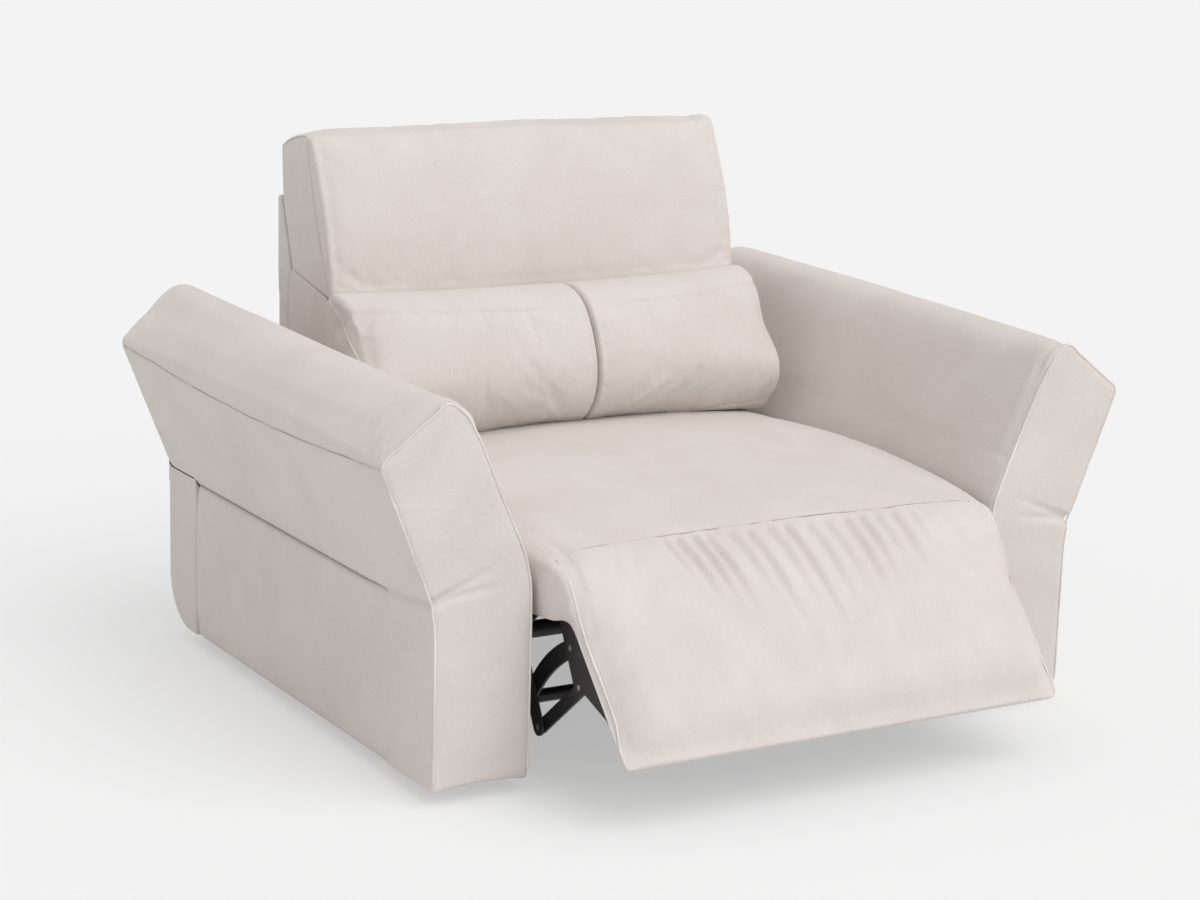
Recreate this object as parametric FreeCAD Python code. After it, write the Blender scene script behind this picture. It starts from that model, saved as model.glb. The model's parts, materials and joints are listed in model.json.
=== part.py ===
import FreeCAD, Part
import math, os

# A wide reclining sofa unit. Millimetres and degrees. X runs to the right seen from the front, the sofa
# faces -Y, Z is up, and the origin lies on the floor under the middle. It is drawn with the legrest partly
# open, the back upright and both arm pads flared. Right-hand pieces are drawn, left-hand ones mirrored.

# Clearances
running = 0.05          # radial, between a pin and its bore
soft_gap = 1.5          # between upholstery on two bodies
slip_gap = 0.3          # between a board and the foam round it
least_bow = 1.0         # keeps a nearly straight arc from lying flat

# Widths: the seat's half width sets the arms, the legrest and the back
seat_half = 462.0
seat_arm_gap = 9.0      # from the seat cushion to the arm
arm_width = 181.0
fold_offset = 10.0      # from the arm's middle out to its fold axis
legrest_inset = 21.0
board_inset = 16.0
back_inset = 16.0
back_side = 12.0        # thickness of the back's side panels
lumbar_overhang = 7.0
head_board_inset = 66.0

# Cushion ends: places along the end, as shares of it, and how far the section is drawn in there
end_share = 0.05
end_steps = ((0.0, 1.0), (0.22, 0.45), (0.55, 0.12))
crown_spans = 4

# Arm modules
floor_gap = 25.0        # height of the glides
arm_front = -430.0
arm_rear = 690.0
arm_flare = 8.0         # widening of the pillars under the fold
flare_height = 48.0
arm_arch = 6.0          # rise of the pillars' bottom edge
pillar_depth = 170.0
post_depth = 132.0
post_corner = 100.0     # radius of the post's lower rear corner
inner_panel = 9.0
side_panel = 38.0
side_puff = 6.0
arm_board = 18.0
arm_rail_width = 50.0
glide_radius = 26.0
glide_inset = 60.0      # from the ends of the arm's board frame

# Folding arm pads
fold_z = 384.0
pad_overhang = 3.5      # of the pad past the arm on each side
pad_height = 300.0      # from the fold axis to the inner ridge
pad_slope = 40.0        # drop from the ridge to the outer edge
pad_crown = 10.0
pad_lean = 22.0
ridge_round = 46.0
edge_round = 12.0
pad_end_round = 14.0
core_height = 200.0
core_foot = 14.0
core_inset = 50.0
hinge_plate = 8.0
hinge_eye = 15.0
hinge_pin = 5.0
hinge_pin_length = 60.0
hinge_foot = 4.0
hinge_foot_length = 48.0
hinge_offset = 108.0    # from the ends of the arm's board frame

# Switch on the inner side of the left pad
switch_y = -260.0
switch_z = 68.0         # above the fold axis
switch_length = 80.0
switch_height = 34.0
switch_depth = 16.0
switch_proud = 1.5
button_radius = 8.0
button_pitch = 40.0
button_length = 10.0
button_proud = 3.0
button_travel = 2.0
button_room = 1.0       # behind a pressed button

# Seat
rail_width = 30.0
rail_bottom = 285.0
rail_top = 332.0
rail_front = -370.0
rail_rear = 400.0
front_rail_y = -355.0
rear_rail_y = 330.0
strap_width = 60.0
strap_thickness = 2.0
strap_pitch = 140.0
strap_count = 6
seat_rear = 335.0
seat_middle_y = 40.0
seat_middle_z = 428.0
seat_rear_z = 424.0
seat_crown = 30.0
seat_edge_round = 26.0
cheek_thickness = 18.0
cheek_bottom = 292.0
cheek_reach = 54.0      # in front of the seat cushion
cheek_round = 30.0
cheek_nose = 38.0

# Legrest, in the plane of its hinge
hinge_y = -443.0
hinge_z = 353.0
flap_angle = 43.0       # from hanging straight down
flap_length = 335.0
knuckle_edge = 60.0     # radius of the fold at the sides
knuckle_crown = 14.0
knuckle_inner = 30.0
knuckle_sweep = 95.0
flap_back = 18.0        # from the hinge axis to the pad's back
flap_bulge = 4.0
flap_tip = 95.0         # length of the rounded lower end
flap_top = 32.0
legrest_end_round = 26.0
board_thickness = 12.0
board_end = 10.0

# Legrest linkage
plate_thickness = 4.0
link_thickness = 5.0
layer_gap = 3.0
link_gap = 2.0
crank_y = -77.0         # from a fixed pivot to the moving one, along Y
crank_z = -147.0
pivot_y = -312.0        # fixed crank pivot
pivot_z = 245.0
upper_share = 0.6       # where the upper link sits along the crank
link_pin = 5.0
main_pin = 6.0
pin_head = 9.0
lug_radius = 12.0
strip_end = 26.0        # of the mechanism plate behind the recline axis
crank_radius = 15.0
crank_boss = 22.5
upper_link_radius = 16.0
lower_link_radius = 12.0
upper_link_arch = 12.0
flange_width = 30.0
flange_thickness = 3.0
flange_start = 60.0
flange_end = 250.0
tube_radius = 15.0
tube_wall = 2.5
tube_end = 4.0
front_tube_y = -222.0
front_tube_z = 90.0
front_tube_radius = 12.0
middle_tube_y = 150.0
middle_tube_z = 182.0
middle_tube_radius = 14.0
strut_radius = 17.0

# Drives
legrest_drive_x = -90.0
back_drive_x = 90.0
lever_length = 75.0
lever_plate = 6.0
lever_radius = 14.0
yoke_thickness = 14.0
yoke_gap = 2.0
yoke_rim = 12.0
slot_slack = 2.2
rod_radius = 9.0
rod_gap = 0.3
sleeve_radius = 16.0
gearbox_size = 60.0
gearbox_round = 8.0
motor_radius = 24.0
motor_length = 88.0
clevis_radius = 22.0
clevis_width = 16.0
legrest_sleeve_front = -215.0
legrest_rod_length = 182.0
back_rod_length = 136.0
back_sleeve_end = 345.0

# Back
recline_y = 420.0
recline_z = 300.0
back_lever_y = 26.0     # drive pin behind and below the recline axis
back_lever_z = -117.0
back_slot_slack = 1.2
upright_thickness = 10.0
upright_front = 416.0
upright_depth = 36.0
upright_bottom = 282.0
upright_top = 662.0
rail_depth = 24.0
rail_heights = (322.0, 520.0, 634.0)
rib_thickness = 12.0
rib_bottom = 362.0
rib_top = 676.0
side_bottom = 346.0
back_strap_heights = (478.0, 530.0, 582.0, 630.0)
back_strap_width = 36.0
shell_front = 590.0
shell_bottom = 255.0
shell_rear = 628.0
shell_top_y = 641.0
shell_top_z = 858.0
lumbar_inner = 5.0
lumbar_bulge_y = 160.0
lumbar_bulge_z = 574.0
lumbar_bottom_y = 220.0
lumbar_sweep_y = 58.0   # how far the ends of the roll lie behind its middle
lumbar_clear = 2.0
lumbar_top_angle = 197.0
lumbar_end_round = 22.0

# Headrest
tilt_y = 408.0
tilt_z = 700.0
head_lean = 19.6
head_height = 292.0
head_edge_radius = 14.0
head_crown = 34.0
head_bulge = 18.0
head_top_y = 630.0
head_top_z = 954.0
head_top_crown = 12.0
head_step_y = 625.0
head_foot_y = 577.0
head_foot_z = 716.0
head_end_share = 0.055  # how much the section is drawn in at the sides
head_board = 15.0
head_board_depth = 72.0
head_board_low = 40.0
head_board_high = 225.0
head_hinge_x = 250.0
head_arm_radius = 12.0
head_bend = 24.0        # the fixed hinge arms bend this far below the tilt axis

# Covers and electrics
panel_front = 520.0
panel_thickness = 15.0
panel_low = 40.0
panel_high = 250.0
box_x = -250.0
box_width = 120.0
box_height = 60.0
box_depth = 40.0
box_bottom = 120.0
inlet_width = 26.0
inlet_height = 18.0
inlet_depth = 14.0
bolt_radius = 5.0
bolt_head = 9.0
bolt_head_height = 6.0
bolt_z = 308.0
bolt_places = (-150.0, 50.0, 250.0)

# Places that follow from the sizes above; those across X are distances from the middle
arm_inner = seat_half + seat_arm_gap
arm_outer = arm_inner + arm_width
fold_x = arm_inner + arm_width / 2 + fold_offset
pad_radius = arm_width / 2 + pad_overhang    # half of the pad's thickness, and its rounded underside
legrest_half = seat_half - legrest_inset
board_half = legrest_half - board_inset
back_half = seat_half - back_inset
upright_x = back_half - back_side
lumbar_outer = back_half + lumbar_overhang
head_board_half = back_half - head_board_inset
plate_x = arm_inner - rail_width - plate_thickness
crank_x = plate_x - layer_gap - link_thickness
link_x = crank_x - link_gap - link_thickness
frame_front = arm_front + pillar_depth
frame_rear = arm_rear - post_depth
hollow = pad_radius + soft_gap

vector = FreeCAD.Vector
along_x = vector(1, 0, 0)
along_y = vector(0, 1, 0)
middle = vector(0, 0, 0)


def at_x(x):
    return lambda point: vector(x, point[0], point[1])


def at_y(y):
    return lambda point: vector(point[0], y, point[1])


def outline(place, start, *steps):
    """Closed wire: a step of one point is a straight run, a step of two is an arc through the first."""
    edges = []
    here = start
    for step in steps:
        if len(step) == 1:
            edges.append(Part.LineSegment(place(here), place(step[0])).toShape())
        else:
            edges.append(Part.Arc(place(here), place(step[0]), place(step[1])).toShape())
        here = step[-1]
    if here != start:
        edges.append(Part.LineSegment(place(here), place(start)).toShape())
    return Part.Wire(edges)


def slab_x(wire_at, low, high):
    """Solid between two planes across X, from a function that draws its outline at a plane."""
    return Part.Face(wire_at(at_x(low))).extrude(vector(high - low, 0, 0))


def slab_y(wire_at, low, high):
    return Part.Face(wire_at(at_y(low))).extrude(vector(0, high - low, 0))


def box(x0, x1, y0, y1, z0, z1):
    return Part.makeBox(x1 - x0, y1 - y0, z1 - z0, vector(x0, y0, z0))


def rod_x(radius, x0, x1, y, z):
    return Part.makeCylinder(radius, x1 - x0, vector(x0, y, z), along_x)


def rod_y(radius, x, y0, y1, z):
    return Part.makeCylinder(radius, y1 - y0, vector(x, y0, z), along_y)


def polar(center, radius, degrees):
    angle = math.radians(degrees)
    return (center[0] + radius * math.cos(angle), center[1] + radius * math.sin(angle))


def between(a, b, share):
    return tuple(p + (q - p) * share for p, q in zip(a, b))


def capsule(a, b, radius, low, high):
    """Flat bar with round ends between two points of the YZ plane."""
    way = math.degrees(math.atan2(b[1] - a[1], b[0] - a[0]))
    left = (polar(a, radius, way + 90), polar(b, radius, way + 90))
    right = (polar(a, radius, way - 90), polar(b, radius, way - 90))
    tips = (polar(a, radius, way + 180), polar(b, radius, way))

    def wire_at(place):
        return outline(place, left[0], (left[1],), (tips[1], right[1]), (right[0],), (tips[0], left[0]))

    return slab_x(wire_at, low, high)


def fuse(first, *others):
    return first.fuse(list(others)).removeSplitter()


def mirrored(shape):
    return shape.mirror(middle, along_x)


def pair(name, shape):
    return {name + "_right": shape, name + "_left": mirrored(shape)}


# Soft profiles that two pieces share


def crown(x, half):
    return 1.0 - (x / half) ** 2


def knuckle(x):
    """Radius of the rounded fold between the seat and the legrest."""
    return knuckle_edge + knuckle_crown * crown(x, legrest_half)


def head_radius(x):
    """Radius of the headrest's rounded lower edge about its tilt axis."""
    return head_edge_radius + head_crown * crown(x, back_half)


def seat_top(x):
    return seat_middle_z + seat_crown * crown(x, seat_half)


def flap(down, out):
    """Point of the legrest in the YZ plane, down along it and out from its hinge axis."""
    turn = math.radians(flap_angle)
    y = hinge_y - down * math.sin(turn) - out * math.cos(turn)
    z = hinge_z - down * math.cos(turn) + out * math.sin(turn)
    return (y, z)


def knuckle_point(radius, degrees):
    turn = math.radians(degrees)
    return flap(-radius * math.sin(turn), radius * math.cos(turn))


def smooth_loft(wires):
    return Part.makeLoft(wires, True, False)


def ruled_loft(wires):
    return Part.makeLoft(wires, True, True)


def cushion(wire_at, low, high, roundness):
    """Crowned cushion across X, with a smooth middle and ends that draw in by the given amount."""
    edge = (high - low) * end_share
    span = (high - low - 2 * edge) / crown_spans
    core = [wire_at(low + edge + span * index, 0.0) for index in range(crown_spans + 1)]
    near = [wire_at(low + edge * along, roundness * inset) for along, inset in end_steps]
    far = [wire_at(high - edge * along, roundness * inset) for along, inset in end_steps]
    ends = [ruled_loft(near + core[:1]), ruled_loft(far + core[-1:])]
    return fuse(smooth_loft(core), *ends)


# Arm modules


def arm_block(place, arched=True):
    """Section of an arm under its pad: a hollow for the pad on top, and a flat or arched bottom."""
    outer = arm_outer + arm_flare
    outer_lip = fold_z - math.sqrt(hollow**2 - (outer - fold_x) ** 2)
    inner_lip = fold_z - 2 * soft_gap
    inner_edge = fold_x - math.sqrt(hollow**2 - (2 * soft_gap) ** 2)
    arch = ((arm_inner + arm_outer) / 2, floor_gap + arm_arch)
    foot = (arm_outer, floor_gap)
    return outline(
        place,
        (arm_inner, floor_gap),
        (arch, foot) if arched else (foot,),
        ((arm_outer, outer_lip - flare_height),),
        ((outer, outer_lip),),
        ((fold_x, fold_z - hollow), (inner_edge, inner_lip)),
        ((arm_inner, inner_lip),),
    )


def arm_rear_post():
    block = slab_y(lambda place: arm_block(place, False), frame_rear, arm_rear)
    corner = [
        edge
        for edge in block.Edges
        if edge.BoundBox.YMin > arm_rear - slip_gap and edge.BoundBox.ZMax < floor_gap + slip_gap
    ]
    return block.makeFillet(post_corner, corner)


def arm_side_panel():
    inner = arm_outer - side_panel
    top = fold_z - math.sqrt((hollow + soft_gap) ** 2 - (arm_outer - fold_x) ** 2)

    def section(y, drawn_in):
        outer = arm_outer - side_puff - drawn_in
        return outline(
            at_y(y),
            (inner, floor_gap),
            ((outer, floor_gap),),
            ((outer + side_puff, (floor_gap + top) / 2), (outer, top)),
            ((inner, top),),
        )

    edge = 2 * side_puff
    panel = ruled_loft(
        [
            section(frame_front, side_puff),
            section(frame_front + edge / 3, side_puff / 3),
            section(frame_front + edge, 0.0),
            section(frame_rear - edge, 0.0),
            section(frame_rear - edge / 3, side_puff / 3),
            section(frame_rear, side_puff),
        ]
    )
    return panel.cut(rod_y(hollow + soft_gap, fold_x, arm_front, arm_rear, fold_z))


def arm_frame():
    inner = arm_inner + inner_panel
    outer = arm_outer - side_panel
    rail_half = arm_rail_width / 2
    rail_high = fold_z - hollow - hinge_foot - 2 * soft_gap
    floor_board = box(inner, outer, frame_front, frame_rear, floor_gap, floor_gap + arm_board)
    side_high = fold_z - math.sqrt(hollow**2 - (fold_x - inner - arm_board) ** 2) - 2 * soft_gap
    side = box(inner, inner + arm_board, frame_front, frame_rear, floor_gap, side_high)
    ends = [
        box(inner, outer, y, y + arm_board, floor_gap, rail_high)
        for y in (frame_front, frame_rear - arm_board)
    ]
    top = box(
        fold_x - rail_half, fold_x + rail_half, frame_front, frame_rear, rail_high - arm_board, rail_high
    )
    frame = fuse(floor_board, side, top, *ends)
    for y in bolt_places:
        frame = frame.cut(rod_x(bolt_radius + running, arm_inner, inner + arm_board, y, bolt_z))
    return frame, rail_high


def arm_inner_cover():
    top = fold_z - 2 * soft_gap
    edge = fold_x - hollow
    cover = box(arm_inner, arm_inner + inner_panel, frame_front, frame_rear, floor_gap, top)
    cover = cover.cut(rod_y(fold_x - edge, fold_x, arm_front, arm_rear, fold_z))
    for y in bolt_places:
        hole = rod_x(bolt_radius + running, arm_inner, arm_inner + inner_panel, y, bolt_z)
        cover = cover.cut(hole)
    return cover


def hinge_places():
    return (frame_front + hinge_offset, frame_rear - hinge_offset)


def hinge_bracket(y, rail_high):
    foot = box(
        fold_x - hinge_eye,
        fold_x + hinge_eye,
        y - hinge_foot_length / 2,
        y + hinge_foot_length / 2,
        rail_high,
        rail_high + hinge_foot,
    )
    web = box(
        fold_x - hinge_eye, fold_x + hinge_eye, y - hinge_plate / 2, y + hinge_plate / 2, rail_high, fold_z
    )
    eye = rod_y(hinge_eye, fold_x, y - hinge_plate / 2, y + hinge_plate / 2, fold_z)
    pin = rod_y(hinge_pin, fold_x, y - hinge_pin_length / 2, y + hinge_pin_length / 2, fold_z)
    return fuse(foot, web, eye, pin)


def tilt_out(shape):
    """Leans an upright right-hand pad piece outwards about the fold axis."""
    leaned = shape.copy()
    leaned.rotate(vector(fold_x, 0, fold_z), along_y, pad_lean)
    return leaned


def pad_section(y, crowned, drawn_in):
    side = pad_radius - drawn_in
    ridge = pad_height + crowned - drawn_in
    edge = ridge - pad_slope
    slope = pad_slope / (2 * side)
    ridge_x = -side + ridge_round
    edge_x = side - edge_round
    ridge_top = (fold_x + ridge_x, fold_z + ridge - slope * ridge_round / 2)
    edge_top = (fold_x + edge_x, fold_z + edge + slope * edge_round)
    ridge_center = (fold_x - side + ridge_round, ridge_top[1] - ridge_round)
    edge_center = (fold_x + side - edge_round, edge_top[1] - edge_round)
    axis = (fold_x, fold_z)
    top_middle = between(edge_top, ridge_top, 0.5)
    return outline(
        at_y(y),
        (fold_x + side, fold_z),
        ((fold_x + side, edge_center[1]),),
        (polar(edge_center, edge_round, 45), edge_top),
        ((top_middle[0], top_middle[1] + crowned / 2 + least_bow), ridge_top),
        (polar(ridge_center, ridge_round, 135), (fold_x - side, ridge_center[1])),
        ((fold_x - side, fold_z),),
        (polar(axis, side, 225), (fold_x, fold_z - side)),
        (polar(axis, side, 315), (fold_x + side, fold_z)),
    )


def upright_arm_pad():
    rear = arm_rear - pad_end_round
    body = [
        pad_section(arm_front, 0.0, 0.0),
        pad_section((arm_front + rear) / 2, pad_crown, 0.0),
        pad_section(rear, 0.0, 0.0),
    ]
    end = [
        pad_section(rear, 0.0, 0.0),
        pad_section(arm_rear - pad_end_round / 3, 0.0, pad_end_round / 4),
        pad_section(arm_rear, 0.0, pad_end_round),
    ]
    pad = fuse(smooth_loft(body), ruled_loft(end))
    half = arm_board / 2 + slip_gap
    slot_low = fold_z - 2 * pad_radius
    slot = box(
        fold_x - half,
        fold_x + half,
        arm_front + core_inset - slip_gap,
        arm_rear - core_inset + slip_gap,
        slot_low,
        fold_z + core_height + slip_gap,
    )
    pad = pad.cut(slot)
    swing = pad_radius * math.sin(math.radians(pad_lean)) + 2 * hinge_eye
    reach = hinge_plate / 2 + 2 * soft_gap
    pocket_high = fold_z + hinge_eye + 2 * soft_gap
    for y in hinge_places():
        pad = pad.cut(box(fold_x - swing, fold_x + swing, y - reach, y + reach, slot_low, pocket_high))
    return pad


def upright_arm_core():
    half = arm_board / 2
    core = box(
        fold_x - half,
        fold_x + half,
        arm_front + core_inset,
        arm_rear - core_inset,
        fold_z - core_foot,
        fold_z + core_height,
    )
    for y in hinge_places():
        reach = hinge_plate / 2 + soft_gap
        notch_high = fold_z + hinge_eye + soft_gap
        notch = box(fold_x - half, fold_x + half, y - reach, y + reach, fold_z - core_foot, notch_high)
        bored = hinge_pin_length / 2 + soft_gap
        bore = rod_y(hinge_pin + running, fold_x, y - bored, y + bored, fold_z)
        core = core.cut(notch).cut(bore)
    return core


def switch_pieces():
    """Upright right-hand plate, its two buttons and the pocket that takes the plate."""
    face = fold_x - pad_radius - switch_proud
    back = fold_x - pad_radius + switch_depth
    low = fold_z + switch_z - switch_height / 2
    high = fold_z + switch_z + switch_height / 2
    front = switch_y - switch_length / 2
    rear = switch_y + switch_length / 2
    plate = box(face, back - slip_gap, front, rear, low, high)
    pocket = box(face, back, front - slip_gap, rear + slip_gap, low - slip_gap, high + slip_gap)
    depth = button_length - button_proud + button_travel + button_room
    buttons = []
    for side in (-1, 1):
        y = switch_y + side * button_pitch / 2
        z = fold_z + switch_z
        plate = plate.cut(rod_x(button_radius + slip_gap, face, face + depth, y, z))
        buttons.append(rod_x(button_radius, face - button_proud, face - button_proud + button_length, y, z))
    return plate, buttons, pocket


def arm_pieces():
    frame, rail_high = arm_frame()
    pieces = {}
    pieces.update(pair("arm_front_pillar", slab_y(arm_block, arm_front, frame_front)))
    pieces.update(pair("arm_rear_post", arm_rear_post()))
    pieces.update(pair("arm_side_panel", arm_side_panel()))
    pieces.update(pair("arm_inner_panel", arm_inner_cover()))
    pieces.update(pair("arm_frame", frame))
    brackets = [hinge_bracket(y, rail_high) for y in hinge_places()]
    pieces["arm_hinge_brackets"] = Part.makeCompound(brackets + [mirrored(b) for b in brackets])
    pieces.update(pair("arm_core", tilt_out(upright_arm_core())))
    pad = upright_arm_pad()
    plate, buttons, pocket = switch_pieces()
    pieces["arm_pad_right"] = tilt_out(pad)
    pieces["arm_pad_left"] = mirrored(tilt_out(pad.cut(pocket)))
    pieces["switch_plate"] = mirrored(tilt_out(plate))
    for name, button in zip(("button_open", "button_close"), buttons):
        pieces[name] = mirrored(tilt_out(button))
    glide_places = (frame_front + glide_inset, frame_rear - glide_inset)
    feet = [Part.makeCylinder(glide_radius, floor_gap, vector(fold_x, y, 0)) for y in glide_places]
    pieces["glides"] = Part.makeCompound(feet + [mirrored(foot) for foot in feet])
    bolts = []
    for y in bolt_places:
        shank = rod_x(bolt_radius, plate_x, arm_inner + inner_panel + arm_board, y, bolt_z)
        head = rod_x(bolt_head, plate_x - bolt_head_height, plate_x, y, bolt_z)
        bolts.append(fuse(shank, head))
    pieces["arm_bolts"] = Part.makeCompound(bolts + [mirrored(bolt) for bolt in bolts])
    return pieces


# Seat


def seat_section(x, drop):
    radius = knuckle(x) + soft_gap - drop if abs(x) < seat_half else knuckle_edge - drop
    axis = (hinge_y, hinge_z)
    bottom = rail_top + strap_thickness
    low_angle = -math.degrees(math.asin((hinge_z - bottom) / radius))
    top = polar(axis, radius, 90)
    rise = seat_crown * crown(x, seat_half) - drop
    return outline(
        at_x(x),
        polar(axis, radius, low_angle),
        ((seat_rear - drop, bottom),),
        ((seat_rear - drop, seat_rear_z + rise),),
        ((seat_middle_y, seat_middle_z + rise), top),
        (polar(axis, radius, (90 + low_angle) / 2), polar(axis, radius, low_angle)),
    )


def seat_cushion():
    return cushion(seat_section, -seat_half, seat_half, seat_edge_round)


def seat_cheek():
    back = rail_front - 2 * slip_gap
    front = hinge_y - soft_gap - cheek_reach
    top = hinge_z + knuckle_edge - seat_edge_round / 2
    under = rail_top + strap_thickness - soft_gap
    step = hinge_y - soft_gap
    nose = (front + cheek_nose, top - cheek_nose)
    chin = (front + cheek_round, cheek_bottom + cheek_round)

    def profile(place):
        return outline(
            place,
            (back, cheek_bottom),
            ((back, under),),
            ((step, under),),
            ((step, top),),
            ((nose[0], top),),
            (polar(nose, cheek_nose, 135), (front, nose[1])),
            ((front, chin[1]),),
            (polar(chin, cheek_round, 225), (chin[0], cheek_bottom)),
        )

    low = legrest_half + 2 * soft_gap
    return slab_x(profile, low, low + cheek_thickness)


def seat_pieces():
    inner = arm_inner - rail_width
    side_rail = box(inner, arm_inner, rail_front, rail_rear, rail_bottom, rail_top)
    for y in bolt_places:
        side_rail = side_rail.cut(rod_x(bolt_radius + running, inner, arm_inner, y, bolt_z))
    span = plate_x - slip_gap
    straps = []
    for index in range(strap_count):
        x = (index - (strap_count - 1) / 2) * strap_pitch
        straps.append(
            box(
                x - strap_width / 2,
                x + strap_width / 2,
                front_rail_y,
                rear_rail_y + rail_width,
                rail_top,
                rail_top + strap_thickness,
            )
        )
    pieces = {
        "seat_cushion": seat_cushion(),
        "seat_cross_rails": Part.makeCompound(
            [
                box(-span, span, y, y + rail_width, rail_bottom, rail_top)
                for y in (front_rail_y, rear_rail_y)
            ]
        ),
        "seat_webbing": Part.makeCompound(straps),
    }
    pieces.update(pair("seat_side_rail", side_rail))
    pieces.update(pair("seat_cheek", seat_cheek()))
    return pieces


# Legrest and its linkage

pivot = (pivot_y, pivot_z)
hinge = (hinge_y, hinge_z)
crank_end = (pivot_y + crank_y, pivot_z + crank_z)
flap_end = (hinge_y + crank_y, hinge_z + crank_z)
crank_middle = between(pivot, crank_end, upper_share)
flap_middle = between(hinge, flap_end, upper_share)


def legrest_section(x, drop):
    radius = knuckle(x) - drop
    fall = radius - flap_back
    tip_radius = (flap_tip**2 + fall**2) / (2 * fall)
    tip_half = math.asin(flap_tip / tip_radius) / 2
    tip_start = flap_length - flap_tip
    tip_via = flap(
        tip_start + tip_radius * math.sin(tip_half), radius - tip_radius * (1 - math.cos(tip_half))
    )
    sweep = knuckle_sweep
    return outline(
        at_x(x),
        flap(flap_top, flap_back),
        (flap(flap_length, flap_back),),
        (tip_via, flap(tip_start, radius)),
        (flap(tip_start / 2, radius + flap_bulge), flap(0.0, radius)),
        (knuckle_point(radius, sweep / 2), knuckle_point(radius, sweep)),
        (knuckle_point(knuckle_inner, sweep),),
        (knuckle_point(knuckle_inner, sweep / 2), flap(0.0, knuckle_inner)),
        (flap(flap_top, knuckle_inner),),
    )


def legrest_pad():
    return cushion(legrest_section, -legrest_half, legrest_half, legrest_end_round)


def legrest_board():
    near = flap_back - board_thickness
    low = flap_length - board_end

    def profile(place):
        return outline(
            place,
            flap(flap_top, near),
            (flap(low, near),),
            (flap(low, flap_back),),
            (flap(flap_top, flap_back),),
        )

    return slab_x(profile, -board_half, board_half)


def legrest_bracket():
    seat = flap_back - board_thickness
    low, high = crank_x, crank_x + link_thickness
    arm = capsule(hinge, flap_end, crank_radius, low, high)
    eye = rod_x(upper_link_radius, low, high, *flap_middle)

    def web(place):
        return outline(place, flap(flap_top, seat), (flap(flange_end, seat),), (flap_end,), (hinge,))

    def flange(place):
        top = seat - flange_thickness
        return outline(
            place,
            flap(flange_start, seat),
            (flap(flange_end, seat),),
            (flap(flange_end, top),),
            (flap(flange_start, top),),
        )

    bracket = fuse(arm, eye, slab_x(web, low, high), slab_x(flange, high - flange_width, high))
    bracket = bracket.cut(rod_x(main_pin + running, low, high, *hinge))
    for place in (flap_end, flap_middle):
        bracket = bracket.cut(rod_x(link_pin, low, high, *place))
    return bracket


def link_pins(places, grip):
    """Rivets fixed in the crank layer that the links turn on."""
    pins = []
    for place in places:
        shank = rod_x(link_pin, link_x, crank_x + grip, *place)
        head = rod_x(pin_head, link_x - layer_gap, link_x - 2 * slip_gap, *place)
        neck = rod_x(link_pin, link_x - layer_gap, link_x, *place)
        pins.append(fuse(shank, neck, head))
    return Part.makeCompound(pins + [mirrored(pin) for pin in pins])


def straight_link(a, b):
    bar = capsule(a, b, lower_link_radius, link_x, link_x + link_thickness)
    for place in (a, b):
        bar = bar.cut(rod_x(link_pin + running, link_x, link_x + link_thickness, *place))
    return bar


def curved_link(a, b):
    """Plate whose middle bows up between its two eyes."""
    radius = upper_link_radius
    way = math.degrees(math.atan2(b[1] - a[1], b[0] - a[0]))
    up = way + 90 if math.cos(math.radians(way)) > 0 else way - 90
    rise = polar(between(a, b, 0.5), upper_link_arch, up)
    outer = (polar(a, radius, up), polar(rise, radius, up), polar(b, radius, up))
    inner = (polar(b, radius, up + 180), polar(rise, radius, up + 180), polar(a, radius, up + 180))
    tips = (polar(b, radius, way), polar(a, radius, way + 180))

    def wire_at(place):
        return outline(
            place,
            outer[0],
            (outer[1], outer[2]),
            (tips[0], inner[0]),
            (inner[1], inner[2]),
            (tips[1], outer[0]),
        )

    plate = slab_x(wire_at, link_x, link_x + link_thickness)
    for place in (a, b):
        plate = plate.cut(rod_x(link_pin + running, link_x, link_x + link_thickness, *place))
    return plate


def mechanism_plate():
    low, high = plate_x, plate_x + plate_thickness
    strip_front = front_rail_y + rail_width / 2
    strip_rear = recline_y + strip_end
    strip = box(low, high, strip_front, strip_rear, rail_bottom, rail_top - soft_gap)
    joined = [
        capsule(hinge, pivot, lug_radius, low, high),
        capsule(pivot, (pivot_y + tube_radius, rail_bottom + tube_radius), crank_boss, low, high),
        capsule((front_tube_y, rail_bottom), (front_tube_y, front_tube_z), strut_radius, low, high),
        capsule((middle_tube_y, rail_bottom), (middle_tube_y, middle_tube_z), strut_radius, low, high),
    ]
    plate = fuse(strip, *joined)
    bores = [
        (main_pin, hinge),
        (tube_radius, pivot),
        (front_tube_radius, (front_tube_y, front_tube_z)),
        (middle_tube_radius, (middle_tube_y, middle_tube_z)),
        (main_pin, (recline_y, recline_z)),
    ]
    for y in bolt_places:
        bores.append((bolt_radius, (y, bolt_z)))
    for radius, place in bores:
        plate = plate.cut(rod_x(radius + running, low, high, *place))
    return plate


def main_pins(place, inner):
    """Headed pins from the mechanism plates inwards."""
    shank = rod_x(main_pin, inner - soft_gap, plate_x + plate_thickness, *place)
    head = rod_x(pin_head, inner - layer_gap, inner - 2 * slip_gap, *place)
    pin = fuse(shank, head)
    return [pin, mirrored(pin)]


def cross_tube(radius, end, y, z):
    tube = rod_x(radius, -end, end, y, z)
    return tube.cut(rod_x(radius - tube_wall, -end, end, y, z))


def lever_pair(x, top, pin_place):
    """Two flat levers with a drive pin between them."""
    inner = yoke_thickness / 2 + yoke_gap
    plates = [
        capsule(top, pin_place, lever_radius, x + low, x + low + lever_plate)
        for low in (inner, -inner - lever_plate)
    ]
    return plates + [rod_x(main_pin, x - inner - lever_plate, x + inner + lever_plate, *pin_place)]


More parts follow.
